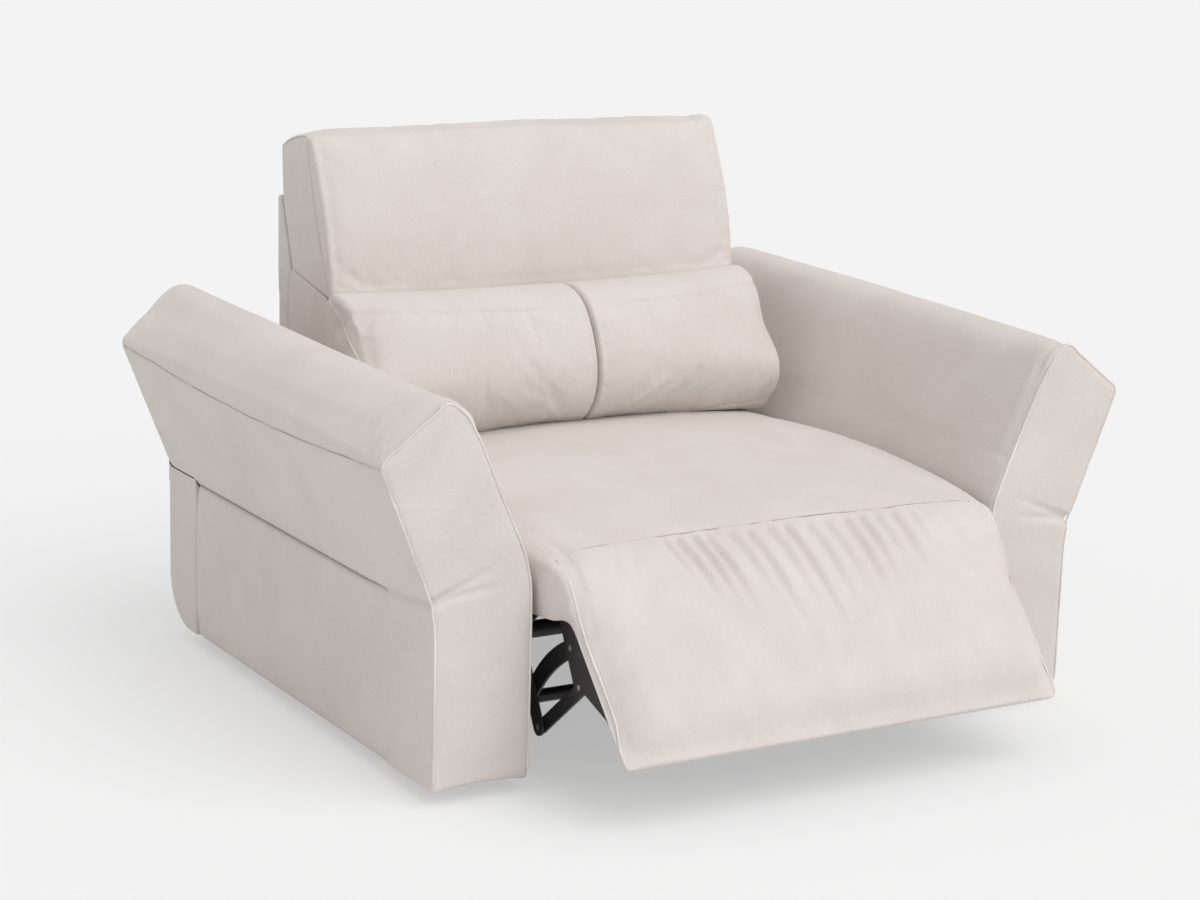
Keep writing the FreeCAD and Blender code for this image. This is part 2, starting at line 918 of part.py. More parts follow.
def crank():
    low, high = crank_x, crank_x + link_thickness
    arm = capsule(pivot, crank_end, crank_radius, low, high)
    boss = rod_x(crank_boss, low, high, *pivot)
    body = fuse(arm, boss).cut(rod_x(tube_radius + running, low, high, *pivot))
    for place in (crank_end, crank_middle):
        body = body.cut(rod_x(link_pin, low, high, *place))
    return body


legrest_lever = (pivot_y, pivot_z - lever_length)
lever_lift = lever_length * (1 - math.cos(math.radians(90 - flap_angle)))
legrest_drive_z = legrest_lever[1] + lever_lift / 2
back_lever = (recline_y + back_lever_y, recline_z + back_lever_z)
back_lift = math.hypot(back_lever_y, back_lever_z) + back_lever_z
back_drive_z = back_lever[1] - back_lift / 2


def torque_tube():
    tube = cross_tube(tube_radius, plate_x + plate_thickness + tube_end, *pivot)
    levers = lever_pair(legrest_drive_x, pivot, legrest_lever)
    tube_space = rod_x(tube_radius - tube_wall, -arm_inner, arm_inner, *pivot)
    return fuse(tube, *levers).cut(tube_space)


def drive_rod(x, z, pin_y, lift, slack, rear, length):
    """Rod with a slotted yoke; rear is 1 where the rod lies behind the yoke and -1 where it lies before."""
    half = yoke_thickness / 2
    slot_half = main_pin + slack
    slot_high = lift / 2 + main_pin + soft_gap
    outer = slot_half + yoke_rim
    tall = slot_high + yoke_rim
    yoke = box(x - half, x + half, pin_y - outer, pin_y + outer, z - tall, z + tall)
    yoke = yoke.cut(
        box(x - half, x + half, pin_y - slot_half, pin_y + slot_half, z - slot_high, z + slot_high)
    )
    start = pin_y + rear * outer
    ends = sorted((start, start + rear * length))
    return fuse(yoke, rod_y(rod_radius, x, ends[0], ends[1], z))


def drive_sleeve(x, z, ends):
    tube = rod_y(sleeve_radius, x, ends[0], ends[1], z)
    return tube.cut(rod_y(rod_radius + rod_gap, x, ends[0], ends[1], z))


def drive_motor(x, z, side):
    """Gearbox with its motor and the clevis ring round the middle cross tube."""
    half = gearbox_size / 2
    near = middle_tube_y + side * clevis_radius
    far = near + side * gearbox_size
    case = box(x - half, x + half, min(near, far), max(near, far), z - half, z + half)
    case = case.makeFillet(gearbox_round, case.Edges)
    inward = -1 if x > 0 else 1
    ends = sorted((x + inward * (half - gearbox_round), x + inward * motor_length))
    motor = rod_x(motor_radius, ends[0], ends[1], (near + far) / 2, z - half + gearbox_round)
    wide = clevis_width / 2
    ring = rod_x(clevis_radius, x - wide, x + wide, middle_tube_y, middle_tube_z)
    neck = box(
        x - wide,
        x + wide,
        min(middle_tube_y, near + side * gearbox_round),
        max(middle_tube_y, near + side * gearbox_round),
        z - wide,
        z + wide,
    )
    whole = fuse(case, motor, ring, neck)
    return whole.cut(rod_x(middle_tube_radius + running, x - wide, x + wide, middle_tube_y, middle_tube_z))


def mechanism_pieces():
    tube_reach = plate_x + plate_thickness
    pieces = {
        "legrest_pad": legrest_pad(),
        "legrest_board": legrest_board(),
        "legrest_link_pins": link_pins((flap_end, flap_middle), link_thickness),
        "crank_link_pins": link_pins((crank_end, crank_middle), link_thickness),
        "torque_tube": torque_tube(),
        "main_hinge_pins": Part.makeCompound(
            main_pins(hinge, crank_x)
            + main_pins((recline_y, recline_z), upright_x - upright_thickness)
        ),
        "cross_tubes": Part.makeCompound(
            [
                cross_tube(front_tube_radius, tube_reach, front_tube_y, front_tube_z),
                cross_tube(middle_tube_radius, tube_reach, middle_tube_y, middle_tube_z),
            ]
        ),
    }
    pieces.update(pair("mechanism_plate", mechanism_plate()))
    pieces.update(pair("legrest_bracket", legrest_bracket()))
    pieces.update(pair("crank", crank()))
    pieces.update(pair("lower_link", straight_link(flap_end, crank_end)))
    pieces.update(pair("upper_link", curved_link(flap_middle, crank_middle)))
    sleeve_rear = middle_tube_y - clevis_radius - gearbox_size
    pieces["legrest_motor"] = drive_motor(legrest_drive_x, legrest_drive_z, -1)
    pieces["legrest_actuator_tube"] = drive_sleeve(
        legrest_drive_x, legrest_drive_z, (legrest_sleeve_front, sleeve_rear)
    )
    pieces["legrest_actuator_rod"] = drive_rod(
        legrest_drive_x,
        legrest_drive_z,
        legrest_lever[0],
        lever_lift,
        slot_slack,
        1,
        legrest_rod_length,
    )
    sleeve_front = middle_tube_y + clevis_radius + gearbox_size
    pieces["back_motor"] = drive_motor(back_drive_x, back_drive_z, 1)
    pieces["back_actuator_tube"] = drive_sleeve(back_drive_x, back_drive_z, (sleeve_front, back_sleeve_end))
    pieces["back_actuator_rod"] = drive_rod(
        back_drive_x, back_drive_z, back_lever[0], back_lift, back_slot_slack, -1, back_rod_length
    )
    return pieces


# Back and headrest

tilt = (tilt_y, tilt_z)


def head_bracket_at(x):
    """Fixed hinge arm on the back's top rail, with the pin that one side of the headrest turns on."""
    stem_y = upright_front + rail_depth / 2
    bend = (stem_y, tilt_z - head_bend)
    half = hinge_plate / 2
    low, high = hinge_arm_span(x)
    stem = capsule((stem_y, rail_heights[-1]), bend, head_arm_radius, x - half, x + half)
    arm = capsule(bend, tilt, head_arm_radius, x - half, x + half)
    return fuse(stem, arm, rod_x(main_pin, low - soft_gap, high + soft_gap, *tilt))


def back_frame():
    high = upright_x
    low = high - upright_thickness
    rear = upright_front + upright_depth
    upright = box(low, high, upright_front, rear, upright_bottom, upright_top)
    upright = upright.cut(rod_x(main_pin + running, low, high, recline_y, recline_z))
    rib = box(low - rib_thickness, low, upright_front, shell_front, rib_bottom, rib_top)
    rails = [
        box(-low, low, upright_front, upright_front + rail_depth, z - rail_depth / 2, z + rail_depth / 2)
        for z in rail_heights
    ]
    lever_top = (upright_front + rail_depth / 2, rail_heights[0])
    levers = lever_pair(back_drive_x, lever_top, back_lever)
    brackets = [head_bracket_at(x) for x in (-head_hinge_x, head_hinge_x)]
    return fuse(upright, mirrored(upright), rib, mirrored(rib), *rails, *levers, *brackets)


def back_shell():
    bow = ((shell_rear + shell_top_y) / 2 + least_bow, (shell_bottom + shell_top_z) / 2)

    def profile(place):
        return outline(
            place,
            (shell_front, shell_bottom),
            ((shell_rear, shell_bottom),),
            (bow, (shell_top_y, shell_top_z)),
            ((head_step_y + 2 * soft_gap, shell_top_z),),
            ((head_foot_y + 2 * soft_gap, head_foot_z),),
            ((shell_front, rib_top),),
        )

    return slab_x(profile, -back_half, back_half)


def back_side_panel():
    """Padded side between the lumbar roll and the outer back, up to the headrest."""
    foot = head_radius(back_half)

    def profile(place):
        return outline(
            place,
            (upright_front, side_bottom),
            ((shell_front, side_bottom),),
            ((shell_front, rib_top),),
            ((head_foot_y, head_foot_z - 4 * soft_gap),),
            ((tilt_y + upright_depth / 2, tilt_z - foot - 4 * soft_gap),),
            ((upright_front, tilt_z - foot - 2 * head_edge_radius),),
        )

    return slab_x(profile, upright_x, back_half)


def lumbar_section(x, drawn_in):
    swept = lumbar_sweep_y * (x / lumbar_outer) ** 2 + drawn_in
    low = max(seat_top(x), seat_rear_z + seat_crown * crown(x, seat_half)) + lumbar_clear + drawn_in / 2
    radius = head_radius(x) + soft_gap + drawn_in / 2
    lip = polar(tilt, radius, lumbar_top_angle)
    seat_lip = seat_top(0.0) - seat_top(x)
    return outline(
        at_x(x),
        (upright_front - strap_thickness, low),
        ((lumbar_bottom_y + swept, low),),
        ((lumbar_bulge_y + swept, lumbar_bulge_z - seat_lip), lip),
        (polar(tilt, radius, (lumbar_top_angle + 270) / 2), (tilt_y, tilt_z - radius)),
        ((upright_front - strap_thickness, tilt_z - radius),),
    )


def lumbar_cushion():
    return cushion(lumbar_section, lumbar_inner, lumbar_outer, lumbar_end_round)


def head_section(x, share):
    radius = head_radius(x)
    turn = math.radians(head_lean)
    face = polar(tilt, radius, 180 - head_lean)
    top = (face[0] + head_height * math.sin(turn), face[1] + head_height * math.cos(turn))
    front = between(face, top, 0.5)
    belly = (front[0] - head_bulge * math.cos(turn), front[1] + head_bulge * math.sin(turn))
    rear_top = (head_top_y, head_top_z)
    over = between(top, rear_top, 0.5)
    heart = between(tilt, (head_top_y, head_top_z), 0.5)

    def place(point):
        drawn = between(point, heart, share)
        return vector(x, drawn[0], drawn[1])

    return outline(
        place,
        face,
        (belly, top),
        ((over[0], over[1] + head_top_crown), rear_top),
        ((head_step_y, shell_top_z),),
        ((head_foot_y, head_foot_z),),
        ((tilt_y, tilt_z - radius),),
        (polar(tilt, radius, 270 - (90 + head_lean) / 2), face),
    )


def head_point(depth, high):
    turn = math.radians(head_lean)
    face = polar(tilt, head_edge_radius, 180 - head_lean)
    y = face[0] + depth * math.cos(turn) + high * math.sin(turn)
    z = face[1] - depth * math.sin(turn) + high * math.cos(turn)
    return (y, z)


def head_board_profile(grow, low):
    near = head_board_depth - grow
    far = head_board_depth + head_board + grow
    high = head_board_high + grow

    def profile(place):
        return outline(
            place,
            head_point(near, low),
            (head_point(far, low),),
            (head_point(far, high),),
            (head_point(near, high),),
        )

    return profile


def head_arm_end():
    return head_point(head_board_depth + head_board / 2, head_board_low + hinge_eye)


def headrest_cushion():
    soft = cushion(head_section, -back_half, back_half, head_end_share)
    half = head_board_half + slip_gap
    soft = soft.cut(slab_x(head_board_profile(slip_gap, -2 * head_crown), -half, half))
    for x in (-head_hinge_x, head_hinge_x):
        low, high = hinge_arm_span(x)
        low, high = low - 2 * soft_gap, high + 2 * soft_gap
        arm_room = capsule(tilt, head_arm_end(), hinge_eye, low, high)
        bracket_room = box(
            low,
            high,
            tilt_y - hinge_eye,
            tilt_y + upright_depth + hinge_eye,
            tilt_z - 2 * (head_edge_radius + head_crown),
            tilt_z + soft_gap,
        )
        pocket = fuse(arm_room, bracket_room)
        soft = soft.cut(pocket)
    return soft


def hinge_arm_span(x):
    """Extent across X of one headrest hinge, its fixed plate and the arm beside it."""
    inner = hinge_plate / 2
    outer = inner + link_gap + lever_plate
    return (x - inner, x + outer) if x > 0 else (x - outer, x + inner)


def headrest_frame():
    half = head_board_half
    board = slab_x(head_board_profile(0.0, head_board_low), -half, half)
    arms = []
    for x in (-head_hinge_x, head_hinge_x):
        low, high = hinge_arm_span(x)
        start = high - lever_plate if x > 0 else low
        arm = capsule(tilt, head_arm_end(), head_arm_radius, start, start + lever_plate)
        arms.append(arm.cut(rod_x(main_pin + running, start, start + lever_plate, *tilt)))
    return fuse(board, *arms)


def back_pieces():
    straps = [
        box(
            -upright_x,
            upright_x,
            upright_front - strap_thickness,
            upright_front,
            z - back_strap_width / 2,
            z + back_strap_width / 2,
        )
        for z in back_strap_heights
    ]
    side = back_side_panel()
    pieces = {
        "back_frame": back_frame(),
        "back_webbing": Part.makeCompound(straps),
        "back_shell": back_shell(),
        "back_side_panels": Part.makeCompound([side, mirrored(side)]),
        "headrest_cushion": headrest_cushion(),
        "headrest_frame": headrest_frame(),
    }
    pieces.update(pair("lumbar_cushion", lumbar_cushion()))
    return pieces


# Base cover and electrics


def cover_pieces():
    panel = box(-arm_inner, arm_inner, panel_front, panel_front + panel_thickness, panel_low, panel_high)
    left = box_x - box_width / 2
    right = box_x + box_width / 2
    control = box(left, right, panel_front - box_depth, panel_front, box_bottom, box_bottom + box_height)
    middle_z = box_bottom + box_height / 2
    inlet = box(
        box_x - inlet_width / 2,
        box_x + inlet_width / 2,
        panel_front - inlet_depth,
        panel_front + panel_thickness,
        middle_z - inlet_height / 2,
        middle_z + inlet_height / 2,
    )
    return {"rear_panel": panel.cut(inlet), "control_box": control.cut(inlet)}


pieces = {}
pieces.update(arm_pieces())
pieces.update(seat_pieces())
pieces.update(mechanism_pieces())
pieces.update(back_pieces())
pieces.update(cover_pieces())

os.makedirs("parts", exist_ok=True)
for name, shape in sorted(pieces.items()):
    shape.exportStep(os.path.join("parts", name + ".step"))
    state = "" if shape.isValid() else " not valid"
    print(f"{name}: {len(shape.Solids)} solid, {shape.Volume / 1e6:.3f} litres{state}")
print(len(pieces), "pieces")
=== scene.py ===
import bpy
import json
import math
import numpy as np
from mathutils import Matrix, Vector
from mathutils.bvhtree import BVHTree


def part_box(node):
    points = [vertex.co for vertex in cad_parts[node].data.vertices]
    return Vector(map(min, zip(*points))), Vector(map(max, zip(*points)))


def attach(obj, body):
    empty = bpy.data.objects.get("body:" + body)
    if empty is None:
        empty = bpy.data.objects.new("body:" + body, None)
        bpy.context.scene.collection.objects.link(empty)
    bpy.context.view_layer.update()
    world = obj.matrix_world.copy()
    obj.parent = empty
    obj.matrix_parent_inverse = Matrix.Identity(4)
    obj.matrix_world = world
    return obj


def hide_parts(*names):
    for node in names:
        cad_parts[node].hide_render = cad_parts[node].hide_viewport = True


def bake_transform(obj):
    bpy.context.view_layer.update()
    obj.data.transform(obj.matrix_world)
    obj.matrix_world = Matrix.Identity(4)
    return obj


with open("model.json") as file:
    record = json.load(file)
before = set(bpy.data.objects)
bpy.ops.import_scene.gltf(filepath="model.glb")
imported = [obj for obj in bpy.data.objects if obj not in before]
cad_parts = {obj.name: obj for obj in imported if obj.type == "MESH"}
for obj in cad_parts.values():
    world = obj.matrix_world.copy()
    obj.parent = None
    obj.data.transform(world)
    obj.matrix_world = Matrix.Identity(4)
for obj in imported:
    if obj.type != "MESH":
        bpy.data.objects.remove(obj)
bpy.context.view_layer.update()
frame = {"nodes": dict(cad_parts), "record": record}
nodes = frame["nodes"]
print("frame loaded:", len(nodes), "nodes")


# Small tools

def hexColor(code):
    channels = [int(code[i:i + 2], 16) / 255 for i in (1, 3, 5)]
    linear = [c / 12.92 if c <= 0.04045 else ((c + 0.055) / 1.055) ** 2.4 for c in channels]
    return (*linear, 1.0)


def addNode(tree, kind, inputs=None, **settings):
    node = tree.nodes.new(kind)
    for key, value in settings.items():
        setattr(node, key, value)
    for key, value in (inputs or {}).items():
        if isinstance(value, bpy.types.NodeSocket):
            tree.links.new(value, node.inputs[key])
        else:
            node.inputs[key].default_value = value
    return node


def deselectAll():
    if bpy.context.object and bpy.context.object.mode != "OBJECT":
        bpy.ops.object.mode_set(mode="OBJECT")
    bpy.ops.object.select_all(action="DESELECT")


def makeActive(piece):
    deselectAll()
    piece.select_set(True)
    bpy.context.view_layer.objects.active = piece


def applyModifier(piece, name, kind, **settings):
    makeActive(piece)
    modifier = piece.modifiers.new(name, kind)
    for key, value in settings.items():
        setattr(modifier, key, value)
    bpy.ops.object.modifier_apply(modifier=name)


def getPoints(piece):
    co = np.empty(len(piece.data.vertices) * 3)
    piece.data.vertices.foreach_get("co", co)
    return co.reshape(-1, 3)


def getNormals(piece):
    normals = np.empty(len(piece.data.vertices) * 3)
    piece.data.vertices.foreach_get("normal", normals)
    return normals.reshape(-1, 3)


def setPoints(piece, co):
    piece.data.vertices.foreach_set("co", co.ravel())
    piece.data.update()


def meshPiece(name, points, faces):
    mesh = bpy.data.meshes.new(name)
    mesh.from_pydata(points, [], faces)
    piece = bpy.data.objects.new(name, mesh)
    bpy.context.collection.objects.link(piece)
    return piece


def faceOutwards(piece):
    makeActive(piece)
    bpy.ops.object.mode_set(mode="EDIT")
    bpy.ops.mesh.select_all(action="SELECT")
    bpy.ops.mesh.normals_make_consistent(inside=False)
    bpy.ops.object.mode_set(mode="OBJECT")
    return piece


def pathLengths(path):
    # how far along a line of points each one lies
    return np.concatenate([[0], np.cumsum(np.linalg.norm(np.diff(path, axis=0), axis=1))])


def wobble(co, size, seed):
    # smooth seeded unevenness from -1 to 1, with bumps about one size apart
    dice = np.random.default_rng(seed)
    field = np.zeros(len(co))
    for turn in range(7):
        way = dice.normal(size=3)
        way /= np.linalg.norm(way)
        field += np.sin(co @ way * 2 * math.pi / (size * dice.uniform(0.7, 1.5)) + dice.uniform(0, 2 * math.pi))
    return field / 4.0


def pathDistance(co, path):
    # distance to a line of points, and how far along it the nearest place lies, from 0 to 1
    path = np.array(path, float)
    lengths = np.linalg.norm(np.diff(path, axis=0), axis=1)
    starts = pathLengths(path)
    best = np.full(len(co), 1e9)
    along = np.zeros(len(co))
    for a, b, length, start in zip(path[:-1], path[1:], lengths, starts):
        t = np.clip(((co - a) @ (b - a)) / length ** 2, 0, 1)
        gap = np.linalg.norm(co - a - t[:, None] * (b - a), axis=1)
        nearer = gap < best
        best[nearer] = gap[nearer]
        along[nearer] = (start + t * length)[nearer] / starts[-1]
    return best, along


def smoothStep(low, high, value):
    t = np.clip((value - low) / (high - low), 0, 1)
    return t * t * (3 - 2 * t)


# Soft pieces start as copies of their solids

def keepLargest(piece):
    # joined solids can leave closed bubbles between them
    name = piece.name
    makeActive(piece)
    bpy.ops.object.mode_set(mode="EDIT")
    bpy.ops.mesh.select_all(action="SELECT")
    bpy.ops.mesh.separate(type="LOOSE")
    bpy.ops.object.mode_set(mode="OBJECT")
    shells = sorted(bpy.context.selected_objects, key=lambda shell: len(shell.data.vertices))
    for shell in shells[:-1]:
        bpy.data.objects.remove(shell)
    shells[-1].name = name
    return shells[-1]


def softCopy(name, sources, voxel, easing=4, stretch=None, shells=1, extra=()):
    copies = list(extra)
    for source in sources:
        copy = bpy.data.objects.new(name, nodes[source].data.copy())
        bpy.context.collection.objects.link(copy)
        copies.append(copy)
    makeActive(copies[0])
    for copy in copies:
        copy.select_set(True)
    if len(copies) > 1:
        bpy.ops.object.join()
    piece = bpy.context.object
    piece.name = name
    bpy.ops.object.mode_set(mode="EDIT")
    bpy.ops.mesh.select_all(action="SELECT")
    bpy.ops.mesh.remove_doubles(threshold=1e-5)
    bpy.ops.object.mode_set(mode="OBJECT")
    # the solid's own stored normals don't suit the new faces
    bpy.ops.mesh.customdata_custom_splitnormals_clear()
    if stretch:
        setPoints(piece, stretch(getPoints(piece)))
    piece.data.remesh_voxel_size = voxel
    bpy.ops.object.voxel_remesh()
    if shells == 1:
        piece = keepLargest(piece)
    applyModifier(piece, "ease", "SMOOTH", factor=0.5, iterations=easing)
    bpy.ops.object.shade_smooth()
    return piece


clothSet = dict(quality=4, mass=0.3, stretch=18, shear=8, bend=0.6, pressure=4.0, slack=0.02, shrink=0.003, frames=14)


def inflate(piece, held, cap):
    # cloth filled from inside: held points stay, the others swell and wrinkle by no more than cap
    fixed = held(getPoints(piece))
    start = getPoints(piece) - getNormals(piece) * (clothSet["shrink"] * ~fixed)[:, None]
    setPoints(piece, start)
    makeActive(piece)
    group = piece.vertex_groups.new(name="held")
    group.add([int(i) for i in np.nonzero(fixed)[0]], 1.0, "REPLACE")
    cloth = piece.modifiers.new("cloth", "CLOTH")
    cloth.settings.quality = clothSet["quality"]
    cloth.settings.mass = clothSet["mass"]
    cloth.settings.tension_stiffness = clothSet["stretch"]
    cloth.settings.compression_stiffness = clothSet["stretch"]
    cloth.settings.shear_stiffness = clothSet["shear"]
    cloth.settings.bending_stiffness = clothSet["bend"]
    cloth.settings.vertex_group_mass = "held"
    cloth.settings.use_pressure = True
    cloth.settings.uniform_pressure_force = clothSet["pressure"]
    cloth.settings.shrink_min = -clothSet["slack"]
    cloth.settings.effector_weights.gravity = 0
    cloth.collision_settings.use_collision = False
    cloth.point_cache.frame_end = clothSet["frames"]
    for step in range(1, clothSet["frames"] + 1):
        bpy.context.scene.frame_set(step)
    bpy.ops.object.modifier_apply(modifier="cloth")
    bpy.context.scene.frame_set(1)
    moved = getPoints(piece) - start
    length = np.linalg.norm(moved, axis=1, keepdims=True)
    setPoints(piece, start + moved * cap / (cap + length))
    piece.vertex_groups.clear()
    print("inflated", piece.name, "by up to", round(float(length.max()) * 1000, 1), "mm before the cap")


def refine(piece):
    applyModifier(piece, "fine", "SUBSURF", levels=1, render_levels=1)
    bpy.ops.object.shade_smooth()


def crease(piece, path, width, depth, fade=True):
    gap, along = pathDistance(getPoints(piece), path)
    amount = depth * np.exp(-(gap / width) ** 2)
    if fade:
        amount *= 1 - along
    setPoints(piece, getPoints(piece) - getNormals(piece) * amount[:, None])


def seamLine(name, carrier, path, radius, proud=0.3, step=0.012, easing=0):
    # sewn line along a path, laid on its carrier's surface
    corners = [vertex.co for vertex in carrier.data.vertices]
    surface = BVHTree.FromPolygons(corners, [face.vertices for face in carrier.data.polygons])
    path = np.array(path, float)
    reach = pathLengths(path)
    spots = np.linspace(0, reach[-1], max(4, int(reach[-1] / step)))
    places = np.stack([np.interp(spots, reach, path[:, axis]) for axis in range(3)], axis=1)
    curve = bpy.data.curves.new(name, "CURVE")
    curve.dimensions = "3D"
    curve.bevel_depth = radius
    curve.bevel_resolution = 2
    curve.resolution_u = 3
    curve.use_fill_caps = True
    spline = curve.splines.new("NURBS")
    spline.points.add(len(places) - 1)
    laid = []
    for place in places:
        near, normal = surface.find_nearest(Vector(place))[:2]
        laid.append(near + normal * radius * proud)
    laid = np.array(laid)
    for turn in range(easing):
        laid[1:-1] = laid[1:-1] / 2 + (laid[:-2] + laid[2:]) / 4
    for point, place in zip(spline.points, laid):
        point.co = (*place, 1.0)
    spline.use_endpoint_u = True
    spline.order_u = 3
    piece = bpy.data.objects.new(name, curve)
    bpy.context.collection.objects.link(piece)
    makeActive(piece)
    bpy.ops.object.convert(target="MESH")
    bpy.ops.object.shade_smooth()
    return bpy.context.object


def mirrorCopy(piece, name):
    twin = bpy.data.objects.new(name, piece.data.copy())
    bpy.context.collection.objects.link(twin)
    setPoints(twin, getPoints(twin) * np.array([-1.0, 1.0, 1.0]))
    makeActive(twin)
    bpy.ops.object.mode_set(mode="EDIT")
    bpy.ops.mesh.select_all(action="SELECT")
    bpy.ops.mesh.flip_normals()
    bpy.ops.object.mode_set(mode="OBJECT")
    return twin


# Materials

def startMaterial(name):
    material = bpy.data.materials.new(name)
    material.use_nodes = True
    tree = material.node_tree
    shader = tree.nodes["Principled BSDF"]
    place = addNode(tree, "ShaderNodeTexCoord").outputs["Object"]
    return material, tree, shader, place


def seenRays(tree):
    # 1 for a ray that shows the surface to the camera, straight or by a mirror or glass
    rays = addNode(tree, "ShaderNodeLightPath").outputs
    seen = addNode(tree, "ShaderNodeMath", {0: rays["Is Camera Ray"], 1: rays["Is Glossy Ray"]}, operation="MAXIMUM")
    seen = addNode(tree, "ShaderNodeMath", {0: seen.outputs["Value"], 1: rays["Is Transmission Ray"]},
                   operation="MAXIMUM")
    return seen.outputs["Value"]


# Microfibre suede, brushed: a short nap that scatters light, pale at grazing angles, with hand marks in it
# welt is a painted highlight: the raised welts are coloured paler than the suede for the light they catch
suedeSet = dict(
    # shade is painted shade: the dark colour of the flat seams' tubes stands for the shade in their grooves
    base="#d9d2cd", marks="#d2cac4", pale="#e1dbd6", welt="#f1ece8", shade="#93877c",
    markSize=0.16, grainSize=0.0042, napSize=0.0016,
    grainBump=0.65, roughness=0.92, sheen=0.35,
)


def suedeMaterial(name, tint):
    material, tree, shader, place = startMaterial(name)
    marks = addNode(tree, "ShaderNodeTexNoise", {"Vector": place, "Scale": 1 / suedeSet["markSize"], "Detail": 4.0,
                                                 "Roughness": 0.6, "Distortion": 0.6})
    spread = addNode(tree, "ShaderNodeMapRange", {"Value": marks.outputs["Fac"], "From Min": 0.36, "From Max": 0.66})
    grain = addNode(tree, "ShaderNodeTexNoise", {"Vector": place, "Scale": 1 / suedeSet["grainSize"], "Detail": 3.0,
                                                 "Roughness": 0.65})
    nap = addNode(tree, "ShaderNodeTexNoise", {"Vector": place, "Scale": 1 / suedeSet["napSize"], "Detail": 2.0})
    blotch = addNode(tree, "ShaderNodeMixRGB", {"Fac": spread.outputs["Result"], "Color2": hexColor(tint),
                                                "Color1": hexColor(suedeSet["marks"])})
    speck = addNode(tree, "ShaderNodeMapRange", {"Value": grain.outputs["Fac"], "From Min": 0.3,
                                                 "From Max": 0.75, "To Max": 0.4})
    color = addNode(tree, "ShaderNodeMixRGB", {"Fac": speck.outputs["Result"], "Color1": blotch.outputs["Color"],
                                               "Color2": hexColor(suedeSet["pale"])})
    heights = addNode(tree, "ShaderNodeMath", {0: grain.outputs["Fac"], 1: nap.outputs["Fac"]}, operation="ADD")
    bump = addNode(tree, "ShaderNodeBump", {"Height": heights.outputs["Value"], "Strength": suedeSet["grainBump"],
                                            "Distance": 0.0012})
    rough = addNode(tree, "ShaderNodeMapRange", {"Value": nap.outputs["Fac"], "To Min": suedeSet["roughness"] - 0.1,
                                                 "To Max": suedeSet["roughness"] + 0.06})
    tree.links.new(color.outputs["Color"], shader.inputs["Base Color"])
    tree.links.new(bump.outputs["Normal"], shader.inputs["Normal"])
    tree.links.new(rough.outputs["Result"], shader.inputs["Roughness"])
    shader.inputs["Sheen Weight"].default_value = suedeSet["sheen"]
    shader.inputs["Sheen Roughness"].default_value = 0.5
    shader.inputs["Sheen Tint"].default_value = hexColor("#fff8f0")
    shader.inputs["Specular IOR Level"].default_value = 0.25
    return material


# Powder coated steel: black, fine orange peel, dull highlights
steelSet = dict(color="#121213", dust="#242426", peelSize=0.0011, dustSize=0.02, roughness=0.42)


def powderSteelMaterial():
    material, tree, shader, place = startMaterial("powderSteel")
    peel = addNode(tree, "ShaderNodeTexNoise", {"Vector": place, "Scale": 1 / steelSet["peelSize"], "Detail": 1.0})
    dust = addNode(tree, "ShaderNodeTexNoise", {"Vector": place, "Scale": 1 / steelSet["dustSize"], "Detail": 5.0})
    color = addNode(tree, "ShaderNodeMixRGB", {"Fac": dust.outputs["Fac"], "Color1": hexColor(steelSet["color"]),
                                               "Color2": hexColor(steelSet["dust"])})
    rough = addNode(tree, "ShaderNodeMapRange", {"Value": dust.outputs["Fac"], "To Min": steelSet["roughness"] - 0.1,
                                                 "To Max": steelSet["roughness"] + 0.15})
    bump = addNode(tree, "ShaderNodeBump", {"Height": peel.outputs["Fac"], "Strength": 0.15, "Distance": 0.0004})
    tree.links.new(color.outputs["Color"], shader.inputs["Base Color"])
    tree.links.new(rough.outputs["Result"], shader.inputs["Roughness"])
    tree.links.new(bump.outputs["Normal"], shader.inputs["Normal"])
    return material


# Zinc plated steel: turned pins and rods with fine rings and a slight haze
zincSet = dict(color="#b9babd", haze="#8f9196", ringSize=0.0016, hazeSize=0.012, roughness=0.3)


def zincSteelMaterial():
    material, tree, shader, place = startMaterial("zincSteel")
    rings = addNode(tree, "ShaderNodeTexNoise", {"Vector": place, "Scale": 1 / zincSet["ringSize"], "Detail": 2.0})
    haze = addNode(tree, "ShaderNodeTexNoise", {"Vector": place, "Scale": 1 / zincSet["hazeSize"], "Detail": 4.0})
    color = addNode(tree, "ShaderNodeMixRGB", {"Fac": haze.outputs["Fac"], "Color1": hexColor(zincSet["color"]),
                                               "Color2": hexColor(zincSet["haze"])})
    rough = addNode(tree, "ShaderNodeMapRange", {"Value": rings.outputs["Fac"], "To Min": zincSet["roughness"] - 0.08,
                                                 "To Max": zincSet["roughness"] + 0.15})
    tree.links.new(color.outputs["Color"], shader.inputs["Base Color"])
    tree.links.new(rough.outputs["Result"], shader.inputs["Roughness"])
    shader.inputs["Metallic"].default_value = 1.0
    return material


# Birch plywood and sawn beech, bare: long grain along the piece with darker growth bands
woodSet = dict(color="#c7a379", band="#a57c50", bandSize=0.012, fibreSize=0.0015, roughness=0.7)


